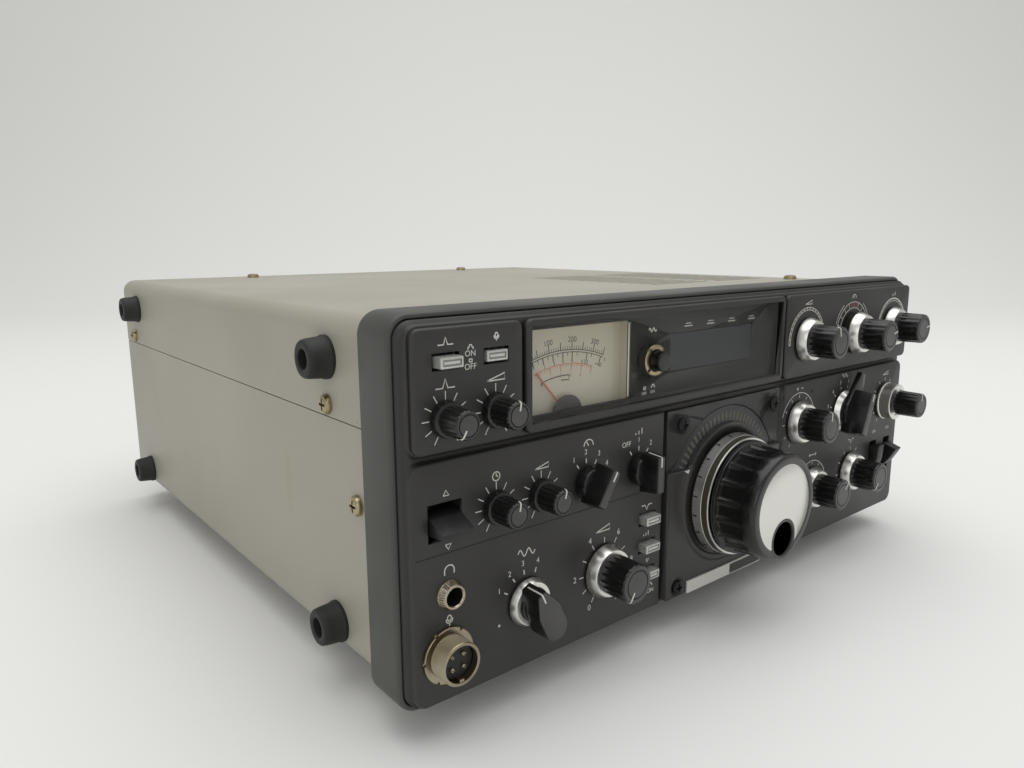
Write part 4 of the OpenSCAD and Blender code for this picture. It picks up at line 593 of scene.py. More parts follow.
def numeral(bm, text, x, z, size, y, turn=0.0):
    """Plain printed figures, centred at a place on a face at depth y."""
    face = bpy.data.curves.new("numeral", "FONT")
    face.body = text
    face.size = size
    face.align_x = "CENTER"
    face.align_y = "CENTER"
    face.extrude = 0.03
    face.resolution_u = 3
    host = placed("numeral", face)
    mesh = frozen(host)
    bpy.data.objects.remove(host)
    mesh.transform(Matrix.Translation(at(x, y, z)) @ Matrix.Rotation(math.radians(turn), 4, "Y")
                   @ Matrix.Rotation(quarter, 4, "X") @ Matrix.Scale(0.001, 4))
    bm.from_mesh(mesh)


card_y = node_box("meter_scale")[2]
middle = (-89.4, 58.5)
centre = at(middle[0], card_y, middle[1])
bm = bmesh.new()
for r in (55.2, 56.1):
    stroke(bm, bow(*middle, r, -23, 21.2), 0.3, card_y)
ticks(bm, centre, 40, 56.8, -23.9, 1.15, 1.3, 0.2, card_black)
ticks(bm, centre, 8, 57.6, -19.4, 5.75, 2.9, 0.32, card_black)
for turn in (-16.5, -11.35, -6.2, -1.0, 4.0, 12.1, 19.9):
    ticks(bm, centre, 1, 53.9, turn, 0, 2.6, 0.4, card_black)
    ticks(bm, centre, 1, 54.5, turn + 2.6, 0, 1.4, 0.28, card_black)
for text, turn, r, size in (("100", -7.9, 59.8, 3.0), ("200", 3.6, 59.8, 3.0), ("300", 15.1, 59.8, 3.0),
                            ("1", -10.9, 51.6, 2.3), ("3", -5.9, 51.6, 2.3), ("5", -0.9, 51.6, 2.3),
                            ("9", 4.1, 51.6, 2.3), ("+20", 11.2, 51.6, 2.4), ("+40", 19.7, 51.9, 2.4)):
    numeral(bm, text, *on_ring(*middle, r, turn), size, card_y, turn * 0.8)
stroke(bm, bow(-89.8, 67.5, 37.7, -16.2, 4.2), 0.4, card_y)
stroke(bm, [(-100.3, 103.9), (-100.8, 102.4)], 0.5, card_y)
stroke(bm, [(-91.2, 103.6), (-87.2, 103.3), (-87.1, 105.1)], 0.4, card_y)
piece("meter_print_black", bm, [card_black], "case", solid=False)
middle = (-89.4, 66)
centre = at(middle[0], card_y, middle[1])
bm = bmesh.new()
stroke(bm, bow(*middle, 43.5, -20, 18.8), 0.3, card_y)
ticks(bm, centre, 27, 42.9, -19.2, 1.44, 1.0, 0.2, print_red)
ticks(bm, centre, 6, 41.9, -17.1, 7.2, 2.6, 0.32, print_red)
for text, turn in (("0", -17.1), ("1", -9.9), ("2", -2.7), ("3", 4.5), ("4", 11.9)):
    numeral(bm, text, *on_ring(*middle, 39.2, turn), 2.0, card_y)
piece("meter_print_red", bm, [print_red], "case", solid=False)
hub_plastic = finish("meter_hub", (86, 84, 82), (76, 74, 72), 0.5, 0.6, 0.05)
bm = bmesh.new()
lathe(bm, facing(at(-90.1, card_y - 2.2, 90.9)), [(0, 7.4), (-0.6, 7.4), (-0.9, 7.1), (-0.9, 0)], 48)
piece("meter_hub_cover", bm, [hub_plastic], "case")
# Painted highlight: two pale strips at the right edge of the meter's opening stand in for the light on the
# clear case's edge.
bm = bmesh.new()
for x, width, y in ((-60.8, 0.9, -0.9), (-63.6, 0.25, card_y)):
    stroke(bm, [(x, 94.2), (x, 123.2)], width, y)
piece("meter_case_edge", bm, [meter_plastic], "case", solid=False)
needle_red = finish("needle_red", (202, 130, 112), (194, 120, 102), 0.5, 0.5, 0.02)
painted(needle_red, "meter_needle")

# Printed marks: white ticks, arcs and figures screen-printed on the panel and the plates. Each control's
# marks stand round its own axis, taken from its joint.
ink = finish("white_ink", (206, 205, 198), (184, 182, 174), 0.6, 0.3, 0.02)
axis = {joint["child"]: (Vector(joint["pos_m"]) - at(0, 0, 0)) * 1000
        for joint in frame["joints"] if "pos_m" in joint}
upper_y = node_box("upper_left_plate")[2]
lower_y = -5.5
window_y = node_box("display_window")[2]
bm = bmesh.new()
# Each row: the control, its face, its ticks (count, r, start, step, length, width) and its arcs
# (r, start, stop, steps, width).
small_scale = (11, 7.5, -150, 30, 2.7, 0.36)
for body, y, scale, arcs in (
    ("blanker_level_knob", upper_y, small_scale, ()), ("vox_gain_knob", upper_y, small_scale, ()),
    ("vox_delay_knob", lower_y, small_scale, ()), ("carrier_knob", lower_y, small_scale, ()),
    ("mic_gain_knob", lower_y, (11, 12.2, -150, 30, 2.2, 0.38), ()),
    ("load_knob", upper_y, (18, 14.7, -96, 10.1, 1.3, 0.6),
     ((14.1, -96, 76, 40, 0.4), (15.3, -96, 76, 40, 0.4))),
    ("plate_knob", upper_y, (9, 14.1, -72, 18, 2.2, 0.3),
     ((12.6, -78, 78, 40, 0.35), (15.6, -78, 78, 40, 0.35), (17.2, -72, -34, 12, 0.35),
      (17.2, 34, 70, 12, 0.35))),
    ("drive_knob", upper_y, (15, 14.4, -105, 13, 1.2, 0.35),
     ((13.9, -110, 90, 40, 0.3), (15.2, -110, 90, 40, 0.7))),
    ("rit_knob", lower_y, (11, 12.6, -150, 30, 1.5, 0.4), ((14.4, -74, 74, 32, 0.35),)),
    ("shift_knob", lower_y, (11, 12.4, -150, 30, 1.4, 0.4), ((13.8, -64, 64, 28, 0.35),)),
    ("notch_knob", lower_y, (11, 12.6, -150, 30, 1.8, 0.42), ()),
    ("af_gain_knob", lower_y, (11, 12.0, -150, 30, 1.8, 0.42), ()),
    ("band_switch_knob", lower_y, (9, 12.6, -135, 30, 1.5, 0.42), ()),
):
    spot = axis[body]
    for r, start, stop, steps, width in arcs:
        stroke(bm, bow(spot.x, spot.z, r, start, stop, steps), width, y)
    ticks(bm, at(spot.x, y, spot.z), *scale, ink)
for body, start, step, size, figures in (("mic_gain_knob", -150, 60, 3.4, ("0", "2", "4", "6", "8", "10")),
                                         ("band_switch_knob", -135, 30, 2.6, "123456789")):
    spot = axis[body]
    for k, text in enumerate(figures):
        numeral(bm, text, *on_ring(spot.x, spot.z, 15.6, start + step * k), size, lower_y)
for body, turns, r, figures in (("mode_switch_knob", (-60, -33.5, -8.4, 19), 11.4, "1234"),
                                ("meter_switch_knob", (-35, -3.5, 31.5, 62), 8.4, "1234"),
                                ("agc_switch_knob", (-33, 0, 36.7), 8.4, ("OFF", "1", "2"))):
    spot = axis[body]
    for turn, text in zip(turns, figures):
        stroke(bm, [on_ring(spot.x, spot.z, r + end, turn) for end in (-0.9, 0.9)], 0.5, lower_y)
        out = r + 3.4 + 0.6 * (len(text) - 1)
        numeral(bm, text, *on_ring(spot.x, spot.z, out, turn), 2.9, lower_y)

# Signs: plain pictograms of straight strokes, drawn in units of their size about their middle, with ON and
# OFF beside the keys and the rockers.
ring = [(math.sin(t * math.pi / 8), math.cos(t * math.pi / 8)) for t in range(17)]
half = [(-math.cos(t * math.pi / 10), math.sin(t * math.pi / 10)) for t in range(11)]
ramp = [[(-1.6, -0.4), (1.6, -0.4), (1.6, 0.5), (-1.6, -0.4)]]
wave = [[(-1.5 + 0.15 * t, 0.5 * math.sin(t * math.pi / 5)) for t in range(21)]]
pulse = [[(-1.5, -0.4), (-0.4, -0.4), (0, 0.8), (0.4, -0.4), (1.5, -0.4)]]
clock = [[(0.7 * u, 0.7 * v) for u, v in ring], [(0, 0.45), (0, 0), (0.35, 0)]]
gauge = [[(u, v - 0.4) for u, v in half], [(0, -0.4), (-0.45, 0.3)]]
level = [[(-0.8, -0.5), (-0.8, -0.1)], [(0, -0.5), (0, 0.2)], [(0.8, -0.5), (0.8, 0.6)]]
headset = [[(0.9 * u, 0.9 * v - 0.2) for u, v in half], [(-0.9, -0.2), (-0.9, -0.8)],
           [(0.9, -0.2), (0.9, -0.8)]]
voice = [[(0.35 * u, 0.45 * v + 0.3) for u, v in ring],
         [(-0.6, 0.2), (-0.5, -0.3), (0, -0.5), (0.5, -0.3), (0.6, 0.2)], [(0, -0.5), (0, -0.9)]]
both_ways = [[(-1.5, 0), (1.5, 0)], [(-1.1, 0.35), (-1.5, 0), (-1.1, -0.35)],
             [(1.1, 0.35), (1.5, 0), (1.1, -0.35)]]
dip = [[(-1.5, 0.4), (-0.5, 0.4), (0, -0.6), (0.5, 0.4), (1.5, 0.4)]]
offset = [[(-1.3, 0), (-0.5, 0)], [(-0.9, 0.4), (-0.9, -0.4)], [(0.5, 0), (1.3, 0)]]
up = [[(-0.5, -0.3), (0.5, -0.3), (0, 0.5), (-0.5, -0.3)]]
down = [[(-0.5, 0.3), (0.5, 0.3), (0, -0.5), (-0.5, 0.3)]]
proud = [[(-0.7, -0.4), (-0.7, 0.1), (-0.4, 0.1), (-0.3, 0.6), (0.3, 0.6), (0.4, 0.1), (0.7, 0.1),
          (0.7, -0.4)]]
flush = [[(-0.5, -0.4), (-0.5, 0.4), (0.5, 0.4), (0.5, -0.4), (-0.5, -0.4)]]
upper_signs = (
    (pulse, -150.4, 110.8, 2.4), (ramp, -130.7, 110.9, 2.3), (pulse, -150, 124.0, 1.9),
    (voice, -130.3, 124.2, 1.6), (proud, -140.6, 121.5, 1.4), (flush, -140.6, 117.4, 1.1),
    (ramp, axis["load_knob"].x, 124.6, 1.9), (gauge, axis["plate_knob"].x, 125.2, 1.9),
    (level, axis["drive_knob"].x, 124.6, 1.9), ("ON", -140.7, 119.6, 2.7), ("OFF", -140.7, 115.4, 2.7))
lower_signs = (
    (clock, -129.6, 77.0, 2.2), (ramp, -109.4, 76.6, 2.0), (gauge, -86.4, 80.8, 2.4),
    (level, -58.9, 80.6, 2.2), (up, -149.9, 75.4, 2.2), (down, -149.4, 57.6, 2.2),
    (headset, -149.2, 49.6, 2.1), (voice, -149.6, 32.0, 2.2), (wave, -116.4, 46.6, 2.6),
    (ramp, -78.2, 45.6, 2.4), (proud, -49.4, 14.0, 1.3), (dip, -53, 48.6, 2.0), (level, -53, 37.2, 1.7),
    (down, -51.8, 25.4, 1.7), (offset, axis["rit_knob"].x, 83.0, 2.2),
    (both_ways, axis["shift_knob"].x, 47.0, 2.2), (dip, axis["notch_knob"].x, 47.6, 2.2),
    (wave, axis["band_switch_knob"].x, 84.4, 1.9), (ramp, axis["af_gain_knob"].x, 80.6, 2.0),
    ("ON", -49.4, 11.4, 2.6), ("ON", 136.8, 48.4, 2.6), ("ON", 152.4, 48.4, 2.6), ("OFF", 136.8, 20.6, 2.4),
    ("OFF", 152.4, 20.6, 2.4))
window_signs = (
    (wave, -49.5, 119.6, 1.5), (flush, -53.4, 96.8, 1.2), (proud, -48.4, 97.0, 1.3),
    ("OFF", -53.6, 94.6, 1.7), ("ON", -48.6, 94.8, 1.7))
for y, signs in ((upper_y, upper_signs), (lower_y, lower_signs), (window_y, window_signs)):
    for sign, x, z, size in signs:
        if isinstance(sign, str):
            numeral(bm, sign, x, z, size, y)
            continue
        for points in sign:
            stroke(bm, [(x + u * size, z + v * size) for u, v in points], 0.42, y)


def dot(bm, x, z, r, height, steps):
    """A round spot on the panel's lower face."""
    lathe(bm, facing(at(x, lower_y + 0.02, z)), [(0, r), (-height, r), (-height, 0)], steps)


dot(bm, -128.9, 22.7, 0.5, 0.07, 16)
for k in range(4):
    shift = 14.9 * k
    stroke(bm, [(-27.4 + shift, 119.2), (-22.2 + shift, 119.2)], 0.45, -0.98)
    stroke(bm, [(-26.6 + shift, 120.3), (-23.0 + shift, 120.3)], 0.35, -0.98)
piece("panel_print", bm, [ink], "case", solid=False)
spot = axis["plate_knob"]
bm = bmesh.new()
stroke(bm, bow(spot.x, spot.z, 14.1, -12, 14, 10), 2.2, upper_y)
panel_red = finish("panel_red", (104, 60, 60), (92, 55, 55), 0.5, 0.3, 0.02)
piece("panel_print_red", bm, [panel_red], "case", solid=False)
# Painted shade: a black line along the crease across the lower left panel stands in for the shade in it. Two
# small black dots further right use the same black.
bm = bmesh.new()
stroke(bm, [(-162, 55.4), (-44.5, 55.4)], 0.3, lower_y)
for x, z in ((67.9, 80.5), (42.6, 80.3)):
    dot(bm, x, z, 0.9, 0.06, 24)
shade_and_dot_black = finish("shade_and_dot_black", (9, 9, 9), (13, 13, 13), 0.7, 0.3, 0.02)
piece("panel_score", bm, [shade_and_dot_black], "case", solid=False)

# Small knobs: moulded black plastic with a plain skirt, a ribbed grip and a face with a turned ring;
# the face is painted grey as a reflection of the bright room. A white line runs over the front edge. Each
# is pushed on a 6 mm shaft.
knob_black = finish("knob_black", (15, 14, 14), (21, 20, 19), 0.27, 0.6, 0.04, coat=0.1, spread=60)
# Painted reflection: the grey of the knob fronts stands in for the bright room seen in their black plastic.
knob_face_reflection = finish("knob_face_reflection", (66, 65, 63), (56, 55, 53), 0.34, 0.5, 0.06, spread=60)
knob_ring = finish("knob_ring", (16, 16, 16), (22, 22, 22), 0.4, 0.5, 0.02)
knob_set = [knob_black, knob_face_reflection, knob_ring, ink]
BLACK, REFLECTION_FACE, RING, WHITE, METAL = range(5)
rest_turn = {"blanker_level_knob": -150, "vox_gain_knob": 10, "vox_delay_knob": 10, "carrier_knob": 15,
             "mic_gain_knob": -150, "load_knob": -15, "plate_knob": 75, "drive_knob": 80, "shift_knob": 40,
             "notch_knob": -140, "meter_switch_knob": 32, "mode_switch_knob": -26, "band_switch_knob": 21}


def seat(body, y):
    """The frame of a knob: its axis at the panel's face, turned to where it points, in millimetres."""
    turn = Matrix.Rotation(math.radians(rest_turn.get(body, 0)), 4, "Y")
    return facing(at(axis[body].x, y, axis[body].z)) @ turn


def ribs(count):
    """Depth of the grooves between rounded ribs, from 0 on a rib to 1 between two."""
    return lambda turn: math.sin(count * turn / 2) ** 2


def pointer_line(bm, to, path, width):
    """A white line that follows (y, r) points straight up from the axis over a knob's edge."""
    rows = []
    for k, (y, r) in enumerate(path):
        ahead, behind = path[min(k + 1, len(path) - 1)], path[max(k - 1, 0)]
        dy, dr = ahead[0] - behind[0], ahead[1] - behind[1]
        span = math.hypot(dy, dr)
        ny, nr = -dr / span, dy / span
        rows.append([bm.verts.new(to @ Vector((s * width / 2, y + ny * lift, r + nr * lift))) for s, lift in
                     ((-1, -0.15), (-1, 0.05), (1, 0.05), (1, -0.15))])
    joined(bm, rows, WHITE)
    bm.faces.new(rows[0]).material_index = WHITE
    bm.faces.new(rows[-1][::-1]).material_index = WHITE


def grip(bm, to, start, back, reach, r, cut, ring_r):
    """A ribbed grip with a rounded front edge and a turned ring in its reflection-grey face, after the start
    rings.
    """
    lathe(bm, to, start + [
        (back, r - 0.1, cut, BLACK), (-reach + 1.2, r - 0.25, cut, BLACK),
        (-reach + 0.5, r - 0.4, cut * 0.7, BLACK), (-reach + 0.12, r - 0.75, cut * 0.2, BLACK),
        (-reach, r - 1.05, 0, REFLECTION_FACE), (-reach, ring_r + 0.3, 0, REFLECTION_FACE), (-reach + 0.25, ring_r + 0.15, 0, RING),
        (-reach + 0.25, ring_r - 0.15, 0, RING), (-reach, ring_r - 0.3, 0, RING), (-reach, 0.5, 0, REFLECTION_FACE),
        (-reach, 0, 0, REFLECTION_FACE)], 144, ribs(18))


for body, y in (("blanker_level_knob", upper_y), ("vox_gain_knob", upper_y), ("vox_delay_knob", lower_y),
                ("carrier_knob", lower_y)):
    bm = bmesh.new()
    to = seat(body, y)
    skirt = [(-0.8, 5.4), (-0.8, 5.75), (-1.0, 5.95), (-2.7, 5.85), (-3.1, 5.65), (-3.3, 5.3)]
    grip(bm, to, skirt, -3.4, 12.1, 4.95, 0.24, 3.5)
    pointer_line(bm, to, [(-12.1, 1.6), (-12.1, 3.9), (-11.9, 4.25), (-11.5, 4.57), (-10.8, 4.72)], 0.6)
    piece(body + "_moulding", bm, knob_set, body, [body])

# Ring knobs: a spun and polished aluminium cone at the panel, and a taller ribbed black grip in it. The
# grip's face, painted grey as a reflection of the bright room, has a turned ring and a white line that runs
# over the front edge.
def spun_metal(name, tint, dark, rough):
    """Aluminium turned on a lathe: fine rings that follow the turned surface."""
    material, tree, skin = material_start(name)
    place = add(tree, "ShaderNodeUVMap", {}, uv_map="turned")
    pull = add(tree, "ShaderNodeMapping", {"Vector": place.outputs["UV"], "Scale": (0.6, 90, 1)})
    lines = add(tree, "ShaderNodeTexNoise", {"Vector": pull.outputs["Vector"], "Scale": 1.0, "Detail": 4})
    fine = lines.outputs["Fac"]
    gloss = add(tree, "ShaderNodeMapRange", {"Value": fine, "To Min": rough - 0.02, "To Max": rough + 0.02})
    bump = add(tree, "ShaderNodeBump", {"Height": fine, "Strength": 0.015, "Distance": 0.0002})
    feed(tree, skin, {"Metallic": 1.0, "Base Color": mixed(tree, fine, srgb(tint), srgb(dark)),
                      "Roughness": gloss.outputs["Result"], "Normal": bump.outputs["Normal"]})
    return material


aluminium = spun_metal("spun_aluminium", (230, 229, 225), (222, 220, 214), 0.3)
ring_set = knob_set + [aluminium]
disc_t = 2.7
for body, y in (("mic_gain_knob", lower_y), ("load_knob", upper_y), ("plate_knob", upper_y - disc_t),
                ("drive_knob", upper_y), ("rit_knob", lower_y), ("shift_knob", lower_y),
                ("notch_knob", lower_y)):
    bm = bmesh.new()
    to = seat(body, y)
    lathe(bm, to, [(-0.8, 9.0), (-0.8, 10.4), (-0.95, 10.65), (-1.3, 10.65), (-4.9, 9.35), (-5.2, 9.1),
                   (-5.25, 8.8), (-5.25, 7.4)], 96, paint=METAL)
    grip(bm, to, [(-4.6, 7.3)], -5.3, 17.4, 7.95, 0.22, 5.4)
    pointer_line(bm, to, [(-17.4, 3.2), (-17.4, 6.8), (-17.2, 7.25), (-16.8, 7.55), (-15.8, 7.7)], 0.75)
    if body == "plate_knob":
        lathe(bm, to, [(1.9, 0), (1.9, 10.4), (1.7, 10.65), (-0.6, 10.65), (-0.75, 10.5), (-0.8, 0)], 96)
    piece(body + "_moulding", bm, ring_set, body, [body])

# Switch knobs: black bars that narrow towards a front painted grey as a reflection of the bright room, on a
# round base; a white line runs along the top edge and down the front. The band switch is larger and sits in a
# spun ring, as the mode switch does.
def bar_knob(bm, to, l, w, reach, front_l, front_w, back):
    """A tapered bar with softened edges and a front face painted grey as a reflection."""
    ends = []
    for y, length, width in ((-back, l, w), (-reach, front_l, front_w)):
        ends.append([bm.verts.new(to @ Vector((sx * width / 2, y, sz * length / 2)))
                     for sx, sz in ((-1, -1), (1, -1), (1, 1), (-1, 1))])
    bm.faces.new(ends[0][::-1])
    bm.faces.new(ends[1]).material_index = REFLECTION_FACE
    joined(bm, ends)
    edges = [e for e in bm.edges if e.verts[0] in ends[0] + ends[1]]
    bmesh.ops.bevel(bm, geom=edges, offset=0.00035, segments=3, profile=0.5, affect="EDGES", material=BLACK)


def round_base(bm, to):
    """The low round foot of a switch knob."""
    lathe(bm, to, [(-0.8, 6.1), (-0.8, 6.4), (-1.1, 6.5), (-4.2, 6.15), (-4.6, 5.9), (-4.8, 5.4), (-4.8, 0)])


def prism(bm, to, side, levels, paint):
    """A pointer: its outline's right side, tip to tail, mirrored and joined through levels (y, share)."""
    outline = side + [(-x, z) for x, z in side[::-1] if x > 0.01]
    loops = [[bm.verts.new(to @ Vector((x * share, y, z * share))) for x, z in outline]
             for y, share in levels]
    joined(bm, loops)
    bm.faces.new(loops[0])
    bm.faces.new(loops[-1]).material_index = paint


for body, l, w, reach in (("meter_switch_knob", 15.6, 6.4, 11.8), ("agc_switch_knob", 15.6, 6.4, 11.8),
                          ("band_switch_knob", 23, 8.4, 14.3)):
    bm = bmesh.new()
    to = seat(body, lower_y)
    round_base(bm, to)
    bar_knob(bm, to, l, w, reach, l - 1.2, w * 0.6, 3.5)
    tip = l / 2
    pointer_line(bm, to, [(-reach, tip - 4.6), (-reach, tip - 1.0), (-reach + 0.1, tip - 0.72),
                          (-reach + 0.5, tip - 0.57), (-5.2, tip - 0.13)], 0.75)
    if body == "band_switch_knob":
        lathe(bm, to, [(-0.8, 7.0), (-0.8, 10.4), (-0.95, 10.65), (-3.0, 9.45), (-3.35, 9.2), (-3.4, 8.9),
                       (-3.4, 7.0)], 96, paint=METAL)
        arc = [math.radians(t) for t in range(22, -91, -8)]
        side = [(1.9, 20.9)] + [(8 * math.cos(t), 8 * math.sin(t)) for t in arc] + [(0, -8)]
        prism(bm, to, side, ((-3.6, 1.0), (-5.9, 1.0), (-6.1, 0.985), (-6.2, 0.95)), BLACK)
    piece(body + "_moulding", bm, ring_set, body, [body])

bm = bmesh.new()
to = seat("mode_switch_knob", lower_y)
round_base(bm, to)
lathe(bm, to, [(-0.8, 7.0), (-0.8, 8.8), (-0.95, 9.0), (-1.3, 8.95), (-3.1, 8.0), (-3.35, 7.8), (-3.4, 7.5),
               (-3.4, 7.0)], 96, paint=METAL)
arc = [math.radians(t) for t in range(0, 91, 6)]
side = [(1.9, 8.8)] + [(5 * math.cos(t), 5 * math.sin(t)) for t in map(math.radians, (21.5, 14, 7, 0))]
side += [(5 * math.cos(t), -7.3 - 5 * math.sin(t)) for t in arc]
prism(bm, to, side, ((-3.6, 1.02), (-11.7, 1.0), (-12.05, 0.985), (-12.2, 0.95)), REFLECTION_FACE)
pointer_line(bm, to, [(-12.2, 4.8), (-12.2, 8.3), (-12.0, 8.7), (-11.6, 8.8), (-4.6, 8.95)], 0.6)
piece("mode_switch_knob_moulding", bm, ring_set, "mode_switch_knob", ["mode_switch_knob"])

# Gain pair: a polished metal ring for the outer control and a slim ribbed black knob that passes through
# it, on a shaft inside the ring's own.
bm = bmesh.new()
lathe(bm, seat("rf_gain_ring", lower_y), [
    (-0.8, 7.0), (-0.8, 9.9), (-1.0, 10.15), (-1.7, 10.2), (-2.1, 9.8), (-6.6, 9.55), (-6.9, 9.75),
    (-7.5, 9.7), (-7.8, 9.3), (-7.8, 7.4), (-7.0, 7.2), (-7.0, 0)], 128, paint=METAL)
piece("rf_gain_ring_turning", bm, ring_set, "rf_gain_ring", ["rf_gain_ring"])
bm = bmesh.new()
to = seat("af_gain_knob", lower_y)
grip(bm, to, [(-8.6, 5.4)], -8.6, 20.6, 6.9, 0.2, 4.6)
pointer_line(bm, to, [(-20.6, 2.6), (-20.6, 5.8), (-20.4, 6.2), (-20.0, 6.5), (-19.1, 6.65)], 0.7)
piece("af_gain_knob_moulding", bm, knob_set, "af_gain_knob", ["af_gain_knob"])

# Tuning escutcheon: a plain moulded plate round the dial's well. A smoked plate covers its upper part, with
# the sub dial's pale marks behind, a white index at the edge and a blank badge plate at the foot.
escutcheon_paint = finish("escutcheon_paint", (48, 47, 45), (44, 43, 41), 0.4, 0.25, 0.06, spread=24)
x0, x1, y0, y1, z0, z1 = node_box("tuning_escutcheon")
window_box = node_box("dial_window")
plate_y, edge_z = window_box[2], window_box[4]
piece("tuning_escutcheon_moulding", softened("tuning_escutcheon", [((x0, x1, z0, edge_z), 0.2, plate_y)]),
      [escutcheon_paint], "case", ["tuning_escutcheon"], crease=50, solid=False)
smoked_dark = clear_plastic("smoked_dial_plate", (120, 122, 126), 0.05, 0.1)
painted(smoked_dark, "dial_window")
sub_dial_paint = finish("sub_dial_paint", (47, 48, 50), (41, 42, 44), 0.4, 0.5, 0.04)
painted(sub_dial_paint, "sub_dial")
dial_print = finish("dial_print", (112, 107, 90), (100, 95, 79), 0.6, 0.3, 0.02)
sub_y = node_box("sub_dial")[2]
spot = axis["tuning_knob"]
bm = bmesh.new()
ticks(bm, at(spot.x, sub_y, spot.z), 76, 33.8, 0, 360 / 76, 4.2, 1.0, dial_print)
piece("sub_dial_print", bm, [dial_print], "sub_dial", solid=False)
bm = bmesh.new()
index = [(-31.0, edge_z - 0.4), (-26.6, edge_z - 0.2), (-26.0, edge_z - 3.2)]
ends = [[bm.verts.new(at(x, plate_y + y, z)) for x, z in index] for y in (-0.08, 0.02)]
bm.faces.new(ends[0])
bm.faces.new(ends[1][::-1])
joined(bm, ends)
piece("dial_index", bm, [ink], "case")
badge_silver = finish("badge_silver", (206, 205, 199), (194, 192, 185), 0.4, 0.4, 0.05, metal=0.15)
badge_black = finish("badge_black", (28, 28, 28), (36, 35, 34), 0.4, 0.4, 0.05)
bm = bmesh.new()
stacked(bm, (-27, 27.5, 3.5, 9.1), 0.4, [(0, plate_y), (0, plate_y - 0.6), (0.2, plate_y - 0.8)])
stacked(bm, (3.4, 26.9, 4.1, 8.5), 0.3, [(0, plate_y - 0.7), (0, plate_y - 0.86)], paint=1)
piece("badge_plate", bm, [badge_silver, badge_black], "case")

# Tuning knob: a heavy black moulding with broad scallops that stop short of its smooth front rim, a spun
# disc in its face and a finger hollow with a rim. Behind it turns a silver ring with black graduations.
dial_silver = spun_metal("dial_silver", (226, 225, 221), (218, 216, 211), 0.32)
groove_olive = finish("dial_groove", (64, 59, 47), (54, 50, 40), 0.5, 0.5, 0.05)
dial_black = finish("dial_black", (24, 24, 23), (30, 29, 28), 0.5, 0.5, 0.04)
print_black = finish("print_black", (30, 29, 27), (52, 50, 46), 0.6, 0.3, 0.02)
to = seat("tuning_knob", 0)
bm = bmesh.new()
SILVER, OLIVE, DARK = range(3)
lathe(bm, to, [(-7.3, 20, 0, DARK), (-7.3, 26.7, 0, DARK), (-7.45, 27.0, 0, DARK), (-8.1, 27.05, 0, DARK),
               (-8.15, 27.15), (-12.0, 26.55), (-12.1, 26.4), (-12.2, 26.3, 0, OLIVE),
               (-14.7, 26.0, 0, OLIVE), (-14.8, 26.0), (-14.85, 26.1), (-15.2, 26.0), (-15.3, 25.85),
               (-15.3, 25.2), (-15.15, 25.0), (-14.6, 24.9, 0, DARK), (-14.6, 20, 0, DARK)], 160,
      paint=SILVER)
piece("dial_ring_turning", bm, [dial_silver, groove_olive, dial_black], "tuning_knob",
      ["dial_ring"])
bm = bmesh.new()
ticks(bm, at(spot.x, -9.3, spot.z), 20, 26.97, 9, 18, 0.34, 0.55, print_black, 1.9)
ticks(bm, at(spot.x, -8.5, spot.z), 100, 27.05, 0, 3.6, 0.2, 0.14, print_black, 0.5)
piece("dial_ring_print", bm, [print_black], "tuning_knob", solid=False)


def scallops(turn):
    """Depth of 18 broad flats with narrow ridges between them."""
    off = abs(turn * 18 / (2 * math.pi) % 1 - 0.5) * 2
    rise = min(max((off - 0.5) / 0.4, 0.0), 1.0)
    return 1.0 - rise * rise * (3 - 2 * rise)


# Painted reflection: the grey on the knob's front rim and on the hollow's rim stands in for the bright room
# seen in the black plastic.
tuning_set = [knob_black, knob_face_reflection, aluminium]
DISC = 2
hollow = Matrix.Translation((0, 0, -13.6))
bm = bmesh.new()
lathe(bm, Matrix(), [
    (-15.7, 18), (-15.7, 24.5), (-15.8, 24.8), (-16.1, 25), (-17.3, 25), (-17.6, 24.8), (-17.8, 24.0, 0.4, 0),
    (-18.3, 23.9, 1.2, 0), (-28.2, 23.1, 1.2, 0), (-28.8, 23.05, 0.9, 0), (-29.2, 23.0, 0.1, 0),
    (-29.5, 23.0), (-33.4, 22.7), (-34.4, 22.3), (-35.0, 21.6), (-35.3, 20.7, 0, REFLECTION_FACE),
    (-35.3, 19.1, 0, REFLECTION_FACE), (-35.2, 18.8, 0, REFLECTION_FACE), (-34.9, 18.7, 0, REFLECTION_FACE), (-34.9, 18.5, 0, DISC),
    (-35.1, 18.2, 0, DISC), (-35.1, 9, 0, DISC), (-35.1, 0, 0, DISC)], 224, scallops)
for rings in ([(-40, 8.8), (-34.2, 8.8), (-34.2, 0)],
              [(-40, 7.2), (-34.0, 7.2), (-31.5, 6.9), (-29.5, 5.7), (-28.4, 3.6), (-28.0, 0)]):
    tool = bmesh.new()
    lathe(tool, hollow, rings)
    bm = carved(bm, tool, tuning_set)
lathe(bm, hollow, [(-34.3, 7.3), (-34.3, 8.75), (-35.0, 8.75), (-35.25, 8.5), (-35.3, 8.1), (-35.25, 7.7),
                   (-35.0, 7.4), (-34.3, 7.3)], paint=REFLECTION_FACE)
bm.transform(to)
piece("tuning_knob_moulding", bm, tuning_set, "tuning_knob", ["tuning_knob"], crease=36)

